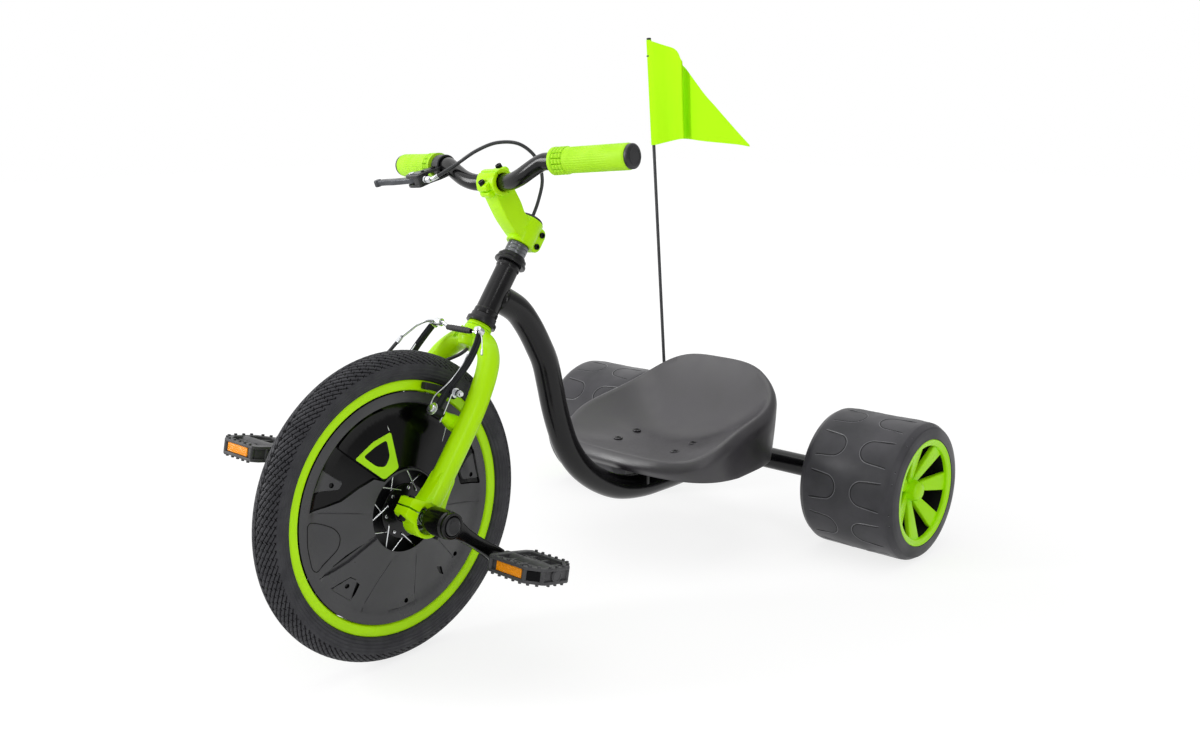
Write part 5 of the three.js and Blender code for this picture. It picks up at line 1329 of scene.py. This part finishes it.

# Rear wheels: slick hard tyres of grey polyethylene, with shallow moulded thumb marks from both
# edges. The nylon wheel inside has a glossy lime face, seven broad spokes and a domed hub cap, in
# front of a barrel painted black as shade. It runs free on two ring bearings, held by a nut.
slick_grey = new_material("moulded_slick_hdpe", "#48474b", 0.38, specular=0.2, grain=(1.1, 0.02),
                          mottle="#353538", mottle_size=70, worn=(0.3, 0.44))
lime_nylon = new_material("glossy_lime_nylon", "#b6fa08", 0.26, specular=0.25, grain=(2.5, 0.012),
                          mottle="#b0f400", mottle_size=50, worn=(0.24, 0.34))
# The thumb marks' lines: a dark one of painted shade and a lighter one beside it of painted highlight
painted_shade_grey = new_material("painted_shade_mark_line", "#151517", 0.4, specular=0.2, grain=(1.1, 0.01))
painted_highlight_grey = new_material("painted_highlight_mark_edge", "#626266", 0.3, grain=(1.1, 0.01))
rear_inner, rear_outer = 191.5, 356
rear_radius, rear_bore = 108, 84
# The tyre's shoulder: mm in from its edge, and mm down from its tread
shoulder_line = [(26, 0), (17, 0.1), (11.5, 0.8), (2.9, 6.1), (2.1, 7.4), (0.8, 14), (0.2, 23)]
rear_profile = [(rear_radius - drop, rear_inner + far) for far, drop in reversed(shoulder_line)]
rear_profile += [(rear_radius - drop, rear_outer - far) for far, drop in shoulder_line]
rear_profile += [(rear_bore, rear_outer - 0.1), (rear_bore, rear_inner + 0.1)]
thumb_count, thumb_turn = 10, math.radians(173)
thumb_half = 18.5


def shoulder_drop(out):
    """How far the tyre's surface lies below its tread, at a distance in from its edge"""
    for (far, low), (near, high) in zip(shoulder_line, shoulder_line[1:]):
        if out >= near:
            return low + (high - low) * max(0.0, far - out) / (far - near)
    return shoulder_line[-1][1]


def thumb_marks(size, deep, grow):
    """Lines that outline shallow thumb shapes from both edges; grow sets them wider"""
    marks = []
    half = thumb_half + grow
    for edge, way, reach in ((rear_outer, -1, 70 + grow), (rear_inner, 1, 66 + grow)):
        for k in range(thumb_count):
            middle = thumb_turn + 2 * math.pi * k / thumb_count
            flat_line = [(6, -half - 5), (24, -half - 2.5), (reach - half, -half)]
            flat_line += [(reach - half + half * math.cos(t), half * math.sin(t))
                          for t in (-1.2, -0.8, -0.4, 0, 0.4, 0.8, 1.2)]
            flat_line += [(reach - half, half), (24, half + 2.5), (6, half + 5)]
            line = []
            for out, around in flat_line:
                radius = rear_radius - shoulder_drop(out) - deep
                line.append(round_x(edge + way * out, radius, middle + around / rear_radius))
            marks.append(tube(line, size, 8, 70))
    return joined(*marks)


spoke_foot, spoke_reach = 15, 61
face_foot, face_rise = 331, 19
back_foot, back_rise = 320, 22


def rear_spoke():
    """One paddle spoke, thin at the hub and broad at the rim, sloped out to the wheel's face"""
    outline = doubled([(14, 6.2), (26, 7.6), (44, 10.4), (62, 13), (76, 15)])
    verts, faces = plate(soften(outline, 3, 4), 0, 1, "yz")
    sloped = []
    for v in verts:
        share = (v.y - spoke_foot) / spoke_reach
        face_x = face_foot + face_rise * share
        back_x = back_foot + back_rise * share
        sloped.append(Vector((face_x if v.x > 0.5 else back_x, v.y, v.z)))
    return sloped, faces


rim_low, rim_high = 195.5, 354
face_profile = [(83.7, rim_high - 7), (83.7, rim_high + 1.2), (81.5, rim_high + 1.6),
                (80.5, rim_high + 0.6), (75, rim_high - 0.2), (73.4, rim_high - 1.5),
                (73.4, rim_high - 7)]
barrel_profile = [(83.7, rim_low), (83.7, rim_high - 7.3), (75, rim_high - 7.3),
                  (78.7, rim_high - 44), (78.7, rim_low)]
# Black for the barrel and the inner spokes: painted shade inside the wheel
painted_shade_nylon = new_material("painted_shade_nylon_barrel", "#0b0b0c", 0.6, specular=0.2,
                            grain=(1.5, 0.03), mottle="#111112")
seat_in, seat_out, seat_deep = 190, 330, 8
hub_profile_rear = [(14.3, seat_in), (17, seat_in), (17, seat_out), (15.5, 337.5), (14.3, 338)]
cap_rear = [(0, 348.9), (6, 348.6), (11.5, 346.8), (14.6, 343), (15.6, 337), (15.6, 331), (0, 331)]
rear_spoke_count = 7
turns = [Matrix.Rotation(2 * math.pi * k / rear_spoke_count, 4, "X") for k in range(rear_spoke_count)]
front_spokes = joined(*[moved(rear_spoke(), turn) for turn in turns])
# The inner set of spokes is the outer one, mirrored to the inner end of the barrel; it is painted black as
# shade
both_sets = 539.5
back_spokes = moved(front_spokes, Matrix.Translation((both_sets, 0, 0)) @ mirror)
face_ring = joined(revolve(soften(face_profile, 1.2, 3), 160),
                   revolve(soften(hub_profile_rear, 1.5, 3), 64))
barrel = revolve(soften(barrel_profile, 1.2, 3), 160)
domed_cap = revolve(soften(cap_rear, 1.0, 3, closed=False), 64)
nut = disc(10, 338.6, 346.4, 0.8, sides=6)
for word, flip in both_sides:
    body = f"rear_wheel_{word}"
    make_piece(f"slick_tyre_{word}", moved(revolve(soften(rear_profile, 1.2, 3), 200), flip), rear,
               slick_grey, body, replaces=[f"rear_tyre_{word}"])
    # Each mark is a line of painted shade with a line of painted highlight along it
    make_piece(f"tyre_marks_{word}", moved(thumb_marks(1.2, 0.85, 0), flip), rear, painted_shade_grey, body)
    make_piece(f"mark_highlights_{word}", moved(thumb_marks(0.7, 0.35, 1.7), flip), rear, painted_highlight_grey, body)
    make_piece(f"wheel_spokes_{word}", moved(front_spokes, flip), rear, lime_nylon, body,
               replaces=[f"rear_wheel_{word}"], rounded=3.2)
    make_piece(f"inner_spokes_{word}", moved(back_spokes, flip), rear, painted_shade_nylon, body,
               rounded=3.2)
    make_piece(f"wheel_face_{word}", moved(face_ring, flip), rear, lime_nylon, body)
    make_piece(f"wheel_barrel_{word}", moved(barrel, flip), rear, painted_shade_nylon, body)
    make_piece(f"hub_cap_{word}", moved(domed_cap, flip), rear, lime_nylon, body)
    for end, start in (("inner", seat_in), ("outer", seat_out)):
        races = joined(ring(11.5, 14, start + 0.2, start + seat_deep, 0.4),
                       ring(6.3, 8.4, start + 0.2, start + seat_deep, 0.4),
                       ring(8.4, 11.5, start + 1, start + seat_deep - 1, 0.3))
        make_piece(f"ring_bearing_{word}_{end}", moved(races, flip), rear, bearing_steel, body,
                   replaces=[f"rear_bearing_{word}_{end}"])
    make_piece(f"axle_nut_{word}", moved(nut, flip), rear, bearing_steel, "trike_frame",
               replaces=[f"rear_axle_nut_{word}"])

# Seat: one rotationally moulded plastic shell, a shallow bowl that rises to a back, with a rolled
# rim and a deep skirt. Fine sand-blast grain, four screws through its floor.
seat_plastic = new_material("grained_polyethylene", "#1e1b20", 0.32, specular=0.8, grain=(0.9, 0.045),
                            mottle="#29262c", mottle_size=45, worn=(0.36, 0.5))
seat_floor = 169
seat_half = 146
seat_front = hub_place.y + 436
seat_length = 258
seat_front_up, seat_back_up, seat_side_up = 173.5, 281, 36
seat_square = 0.57
seat_around = 220
bowl_steps, bowl_curve = 32, 2.4
roll_out, roll_drop, rim_roll = 9, 16, 4
skirt_front, skirt_drop, skirt_out, seat_wall = 148, 9.5, 2, 5
seat_centre = Vector((0, seat_front + seat_length * 0.4, 0))


def seat_rim(turn):
    """The rim is a rounded square that tapers a little and rises to the back and the sides"""
    c, s = math.cos(turn), math.sin(turn)
    back = (1 - math.copysign(abs(c) ** seat_square, c)) / 2
    half = seat_half * (1 - 0.12 * (back - 0.6))
    share = math.copysign(abs(s) ** seat_square, s)
    side = (abs(share * half) / seat_half) ** 2
    rise = (seat_back_up - seat_front_up) * back ** 4 + seat_side_up * math.sin(math.pi * back) * side
    return Vector((half * share, seat_front + seat_length * back, seat_front_up + rise))


def even_rim():
    """The rim's points, evenly spaced along it"""
    fine = [seat_rim(2 * math.pi * k / 4000) for k in range(4001)]
    lengths = [0.0]
    for a, b in zip(fine, fine[1:]):
        lengths.append(lengths[-1] + (b - a).length)
    points, k = [], 0
    for i in range(seat_around):
        goal = lengths[-1] * i / seat_around
        while lengths[k + 1] < goal:
            k += 1
        share = (goal - lengths[k]) / max(lengths[k + 1] - lengths[k], 1e-9)
        points.append(fine[k].lerp(fine[k + 1], share))
    return points


rim_points = even_rim()


def seat_shape():
    """Rows of points from the bowl's middle over the rolled rim, down the skirt and back inside"""
    rows = []

    def row(make):
        rows.append([make(p, Vector((p.x - seat_centre.x, p.y - seat_centre.y, 0)))
                     for p in rim_points])

    def from_centre(away, share, up):
        return Vector((seat_centre.x + away.x * share, seat_centre.y + away.y * share, up))

    def pulled(away, distance, up):
        return from_centre(away, 1 - distance / away.length, up)

    def bowl(p, away, share, drop):
        shorter = (away.length - rim_roll) / away.length
        up = seat_floor + (p.z - seat_floor) * share ** bowl_curve - drop
        return from_centre(away, share * shorter, up)

    def base(p):
        return skirt_front - skirt_drop * min(1, (p.y - seat_front) / seat_length / 0.4)

    for i in range(1, bowl_steps + 1):
        row(lambda p, away: bowl(p, away, i / bowl_steps, 0))
    # The rolled rim is an arc over the edge, then it falls in a long curve to the skirt
    for out, drop in ((-0.9, 0.0), (0.6, 0.4), (2.4, 2.4), (4.6, 5.0), (6.7, 8.4), (8.3, 12.2)):
        row(lambda p, away: pulled(away, -out, p.z - drop))
    row(lambda p, away: pulled(away, -roll_out, p.z - roll_drop))
    for i in range(1, 9):
        t = i / 8
        row(lambda p, away: pulled(away, -roll_out + (roll_out - skirt_out) * t ** 1.4,
                                   (p.z - roll_drop) * (1 - t) + (base(p) + 1.5) * t))
    row(lambda p, away: pulled(away, 0.6 - skirt_out, base(p)))
    row(lambda p, away: pulled(away, seat_wall - 1 - skirt_out, base(p)))
    for i in range(7):
        t = i / 6
        row(lambda p, away: pulled(away, seat_wall - skirt_out - (roll_out - skirt_out) * t,
                                   (base(p) + 1) * (1 - t) + (p.z - roll_drop) * t))
    row(lambda p, away: pulled(away, rim_roll, p.z - 8))
    for i in range(bowl_steps - 1, 0, -1):
        row(lambda p, away: bowl(p, away, i / bowl_steps * 0.97, seat_wall))
    verts = [point for points in rows for point in points]
    faces = []
    for r in range(len(rows) - 1):
        for i in range(seat_around):
            a, b = r * seat_around + i, r * seat_around + (i + 1) % seat_around
            faces.append((a, b, b + seat_around, a + seat_around))
    top, bottom = len(verts), len(verts) + 1
    verts.append(Vector((seat_centre.x, seat_centre.y, seat_floor)))
    verts.append(Vector((seat_centre.x, seat_centre.y, seat_floor - seat_wall)))
    last = (len(rows) - 1) * seat_around
    for i in range(seat_around):
        n = (i + 1) % seat_around
        faces.append((top, i, n))
        faces.append((bottom, last + n, last + i))
    return verts, faces


make_piece("seat_shell", seat_shape(), scale, seat_plastic, "trike_frame",
           replaces=["seat"], sharp=50)


def bowl_height(x, y):
    """How high the bowl's surface is over a place on the ground"""
    away = Vector((x, y)) - seat_centre.to_2d()
    edge = min(rim_points, key=lambda p: abs(away.angle(p.to_2d() - seat_centre.to_2d())))
    reach = (edge.to_2d() - seat_centre.to_2d()).length - rim_roll
    return seat_floor + (edge.z - seat_floor) * (away.length / reach) ** bowl_curve


seat_screws, screw_seats = [], []
screw_out = 57.7
for x in (screw_out, -screw_out):
    for y in (hub_place.y + 501.5, hub_place.y + 547.5):
        spot = Vector((x, y, bowl_height(x, y) + 0.6))
        seat_screws.append(stood(screw(4.6, 1.6), spot))
        screw_seats.append(stood(ring(4.6, 7.2, -0.8, 1.0, 0.6), spot))
        seat_screws.append(stood(disc(5, -9, -4.5, 0.6, sides=6), spot))
make_piece("seat_screws", joined(*seat_screws), scale, black_oxide, "trike_frame")
make_piece("seat_screw_seats", joined(*screw_seats), scale, seat_plastic, "trike_frame")
# Rubber stop under the left rear corner of the seat
stop_place = Vector((112, hub_place.y + 640, 146))
make_piece("seat_stop", stood(disc(4.5, -12, 10, 1.2), stop_place), scale, shoe_rubber, "trike_frame")

# Flag pole: slim pultruded fibreglass rod, dark grey, that stands in the socket of a moulded nylon
# clamp round the axle tube. A rubber tip closes its top.
fibreglass = new_material("pultruded_fibreglass", "#2b2c2f", 0.34, grain=(1.6, 0.02), mottle="#3a3b3e",
                          mottle_size=12, worn=(0.28, 0.42))
pole_x = -153.6
pole_lean = math.tan(math.radians(3.923))
pole_foot, pole_top = axle_z + 22.5, 797
socket_low, socket_high = pole_foot - 2, pole_foot + 30


def on_pole(up):
    """A place on the leaning pole by its height"""
    return Vector((pole_x - pole_lean * (up - pole_foot), axle_y, up))


make_piece("pole_rod", tube([on_pole(pole_foot + 2), on_pole(450), on_pole(pole_top)], 2.8, 24, 40),
           scale, fibreglass, "trike_frame", replaces=["flag_pole"])
clamp_place = Matrix.Translation((pole_x, 0, 0))
clamp_ring = moved(ring(17.8, 22.5, -11, 11, 1.2), clamp_place)
socket_way = (on_pole(socket_high) - on_pole(socket_low)).normalized()
clamp_socket = moved(ring(3.1, 7, 0, 32, 1.0, 40), along(socket_way, on_pole(socket_low) - rear_place))
clamp_lugs = moved(block((-9, -6, -31), (9, 6, -21)), clamp_place)
make_piece("pole_clamp", joined(clamp_ring, clamp_socket, clamp_lugs), rear, nylon_black, "trike_frame",
           replaces=["flag_pole_clamp"], rounded=0.8)
grub_place = on_pole(pole_foot + 18) - rear_place + Vector((6.4, 0, 0))
pole_screws = joined(moved(screw(3.6, 3), Matrix.Translation((pole_x + 8.8, 0, -26.5))),
                     moved(screw(2.2, 2), Matrix.Translation(grub_place)))
make_piece("pole_clamp_screws", pole_screws, rear, black_oxide, "trike_frame")
tip = moved(revolve(soften([(0, -10), (3.5, -10), (3.9, 1), (0, 1)], 1.0, 3, closed=False), 24),
            along(socket_way, on_pole(pole_top)))
make_piece("pole_tip", tip, scale, shoe_rubber, "trike_frame")

# Flag: a pennant of thin woven polyester, sewn round the pole as a sleeve. It hangs in soft
# folds, with one sharp fold where the cloth doubles back behind itself.
pennant_cloth = new_material("woven_lime_polyester", "#b4f800", 0.7, specular=0.15)
cloth_place = add_node(pennant_cloth, "ShaderNodeTexCoord").outputs["Object"]
# Threads are 0.5 mm apart on the real cloth; 1.2 mm here, so that they show
warp, weft = [add_node(pennant_cloth, "ShaderNodeTexWave", {"Scale": 260.0, "Distortion": 0.4},
                       {"Vector": cloth_place}, bands_direction=way) for way in "XZ"]
weave = add_node(pennant_cloth, "ShaderNodeMath", operation="MAXIMUM",
                 links={0: warp.outputs["Fac"], 1: weft.outputs["Fac"]})
weave_bump = add_node(pennant_cloth, "ShaderNodeBump", {"Strength": 0.35, "Distance": 0.0004},
                      {"Height": weave.outputs["Value"]})
feed(pennant_cloth, weave_bump.outputs["Normal"], "Normal")
tints = add_node(pennant_cloth, "ShaderNodeTexNoise", {"Scale": 9.0}, {"Vector": cloth_place})
tint_ramp = add_node(pennant_cloth, "ShaderNodeValToRGB", links={"Fac": tints.outputs["Fac"]})
tint_ramp.color_ramp.elements[0].color = linear("#b0f800")
tint_ramp.color_ramp.elements[1].color = linear("#befe04")
feed(pennant_cloth, tint_ramp.outputs["Color"], "Base Color")
flag_foot, flag_top = 619.3, 794.5
# Columns of the cloth: mm out from the pole, mm towards the back, and its lower and upper edge
# as shares of the height at the pole. The middle ones turn back on themselves in the sharp fold.
flag_columns = [(0, -4.2, 0.0, 1.0), (10, -5.2, 0.006, 0.988), (22, -2.4, 0.022, 0.966),
                (36, 1.6, 0.042, 0.94), (48, 2.4, 0.056, 0.92), (58, -1.0, 0.064, 0.895),
                (66, -5.2, 0.068, 0.86), (71, -7.4, 0.07, 0.82), (72.6, -6.2, 0.07, 0.80),
                (71, -2.6, 0.069, 0.785), (67, 2.4, 0.068, 0.77), (66, 5.4, 0.067, 0.755),
                (70, 6.8, 0.066, 0.73), (80, 5.4, 0.063, 0.672), (96, 2.2, 0.056, 0.582),
                (114, 0.2, 0.049, 0.478), (134, 0.8, 0.042, 0.372), (156, 2.2, 0.034, 0.25),
                (178, 2.4, 0.027, 0.136), (200, 1.6, 0.014, 0.03)]
flag_thick = 0.5
cloth_steps = 190


def pennant():
    """The cloth as a thin solid: a front and a back net of points, closed round the edge"""
    columns = smooth_route([Vector((a, b, c)) for a, b, c, _ in flag_columns], cloth_steps)
    tops = smooth_route([Vector((a, b, d)) for a, b, _, d in flag_columns], cloth_steps)
    verts, faces = [], []
    rows = 60
    for way in (-1, 1):
        for i, (low, high) in enumerate(zip(columns, tops)):
            before, after = columns[max(i - 1, 0)], columns[min(i + 1, cloth_steps)]
            run = Vector((after.x - before.x, after.y - before.y)).normalized()
            for j in range(rows + 1):
                share = low.z + (high.z - low.z) * j / rows
                up = flag_foot + (flag_top - flag_foot) * share
                root = on_pole(up)
                sway = 1.4 * math.sin(share * 5 + low.x * 0.05) * min(1, low.x / 40)
                verts.append(Vector((root.x + low.x - way * run.y * flag_thick / 2,
                                     root.y + low.y + sway + way * run.x * flag_thick / 2, up)))
    layer = (cloth_steps + 1) * (rows + 1)
    for i in range(cloth_steps):
        for j in range(rows):
            a = i * (rows + 1) + j
            faces.append((a, a + rows + 1, a + rows + 2, a + 1))
            faces.append((a + layer, a + 1 + layer, a + rows + 2 + layer, a + rows + 1 + layer))
        low, high = i * (rows + 1), i * (rows + 1) + rows
        faces.append((low, low + layer, low + rows + 1 + layer, low + rows + 1))
        faces.append((high, high + rows + 1, high + rows + 1 + layer, high + layer))
    for j in range(rows):
        end = cloth_steps * (rows + 1) + j
        faces.append((j, j + 1, j + 1 + layer, j + layer))
        faces.append((end, end + layer, end + 1 + layer, end + 1))
    return verts, faces


flag = make_piece("pennant", pennant(), scale, pennant_cloth, "trike_frame",
                  replaces=["flag"], sharp=70)
sleeve = tube([on_pole(flag_foot), on_pole(700), on_pole(flag_top)], 4.4, 24, 60, squash=0.9)
make_piece("pennant_sleeve", sleeve, scale, pennant_cloth, "trike_frame")
tie_ring = moved(ring(4.3, 5.3, -1.1, 1.1, 0.4, 24), along(socket_way, on_pole(768)))
make_piece("pennant_tie", tie_ring, scale, nylon_black, "trike_frame")

# Studio: a white floor under a white sky, plain to the camera but for the trike's soft shadow.
# Polished faces mirror a sky that is brighter above and to the trike's right. Three soft lamps hang
# overhead, at its left and in front.
floor_material = new_material("matt_white_floor", "#ffffff", 1.0, specular=0.0)
nodes = floor_material.node_tree.nodes
floor_shader = nodes["Principled BSDF"]
glow = add_node(floor_material, "ShaderNodeEmission", {"Color": (1, 1, 1, 1), "Strength": 1.1})
ray = add_node(floor_material, "ShaderNodeLightPath")
seen = add_node(floor_material, "ShaderNodeMath", operation="MAXIMUM",
                links={0: ray.outputs["Is Camera Ray"], 1: ray.outputs["Is Glossy Ray"]})
floor_place = add_node(floor_material, "ShaderNodeTexCoord").outputs["Object"]
distance = add_node(floor_material, "ShaderNodeVectorMath", links={0: floor_place}, operation="LENGTH")
# Near the trike 28% of the floor is its lit self, which shows the shadow; further out it's plain
fade = add_node(floor_material, "ShaderNodeMapRange",
                {"From Min": 0.7, "From Max": 1.5, "To Min": 0.72, "To Max": 1.0},
                {"Value": distance.outputs["Value"]})
glow_share = add_node(floor_material, "ShaderNodeMath", operation="MULTIPLY",
                      links={0: seen.outputs["Value"], 1: fade.outputs["Result"]})
mixed = add_node(floor_material, "ShaderNodeMixShader",
                 links={0: glow_share.outputs["Value"], 1: floor_shader.outputs["BSDF"],
                        2: glow.outputs["Emission"]})
floor_material.node_tree.links.new(mixed.outputs["Shader"], nodes["Material Output"].inputs["Surface"])
floor_mesh = bpy.data.meshes.new("floor")
floor_mesh.from_pydata([(-9, -9, 0), (9, -9, 0), (9, 9, 0), (-9, 9, 0)], [], [(0, 1, 2, 3)])
floor_mesh.materials.append(floor_material)
floor = bpy.data.objects.new("floor", floor_mesh)
floor.location.z = -0.0005
bpy.context.collection.objects.link(floor)

world = bpy.data.worlds.new("white_studio")
world.use_nodes = True
bpy.context.scene.world = world
background = world.node_tree.nodes["Background"]
background.inputs["Color"].default_value = (1, 1, 1, 1)
sky_ray = add_node(world, "ShaderNodeLightPath")
plain = add_node(world, "ShaderNodeMath", operation="MAXIMUM",
                 links={0: sky_ray.outputs["Is Camera Ray"], 1: sky_ray.outputs["Is Transmission Ray"]})
fill = add_node(world, "ShaderNodeMapRange", {"To Min": 0.5, "To Max": 1.0},
                {"Value": plain.outputs["Value"]})
sky_way = add_node(world, "ShaderNodeTexCoord")
sky_height = add_node(world, "ShaderNodeVectorMath", {1: (-0.55, 0, 0.83)},
                      {0: sky_way.outputs["Generated"]}, operation="DOT_PRODUCT")
mirrored = add_node(world, "ShaderNodeMapRange",
                    {"From Min": 0.1, "From Max": 0.95, "To Min": 0.45, "To Max": 1.5},
                    {"Value": sky_height.outputs["Value"]})
strength = add_node(world, "ShaderNodeMapRange",
                    links={"Value": sky_ray.outputs["Is Glossy Ray"], "To Min": fill.outputs["Result"],
                           "To Max": mirrored.outputs["Result"]})
world.node_tree.links.new(strength.outputs["Result"], background.inputs["Strength"])


def soft_lamp(name, place, aim, size, power):
    lamp = bpy.data.lights.new(name, "AREA")
    lamp.shape = "RECTANGLE"
    lamp.size, lamp.size_y = size
    lamp.energy = power
    made_lamp = bpy.data.objects.new(name, lamp)
    made_lamp.location = place
    made_lamp.rotation_euler = (Vector(aim) - Vector(place)).to_track_quat("-Z", "Y").to_euler()
    bpy.context.collection.objects.link(made_lamp)


soft_lamp("overhead_box", (0.1, -0.2, 2.6), (0, 0, 0.2), (2.4, 2.4), 16)
soft_lamp("side_strip", (2.3, -1.3, 1.5), (0, 0, 0.35), (0.4, 1.6), 10)
soft_lamp("front_strip", (-1.7, -2.1, 1.3), (0, 0, 0.35), (0.45, 1.6), 38)
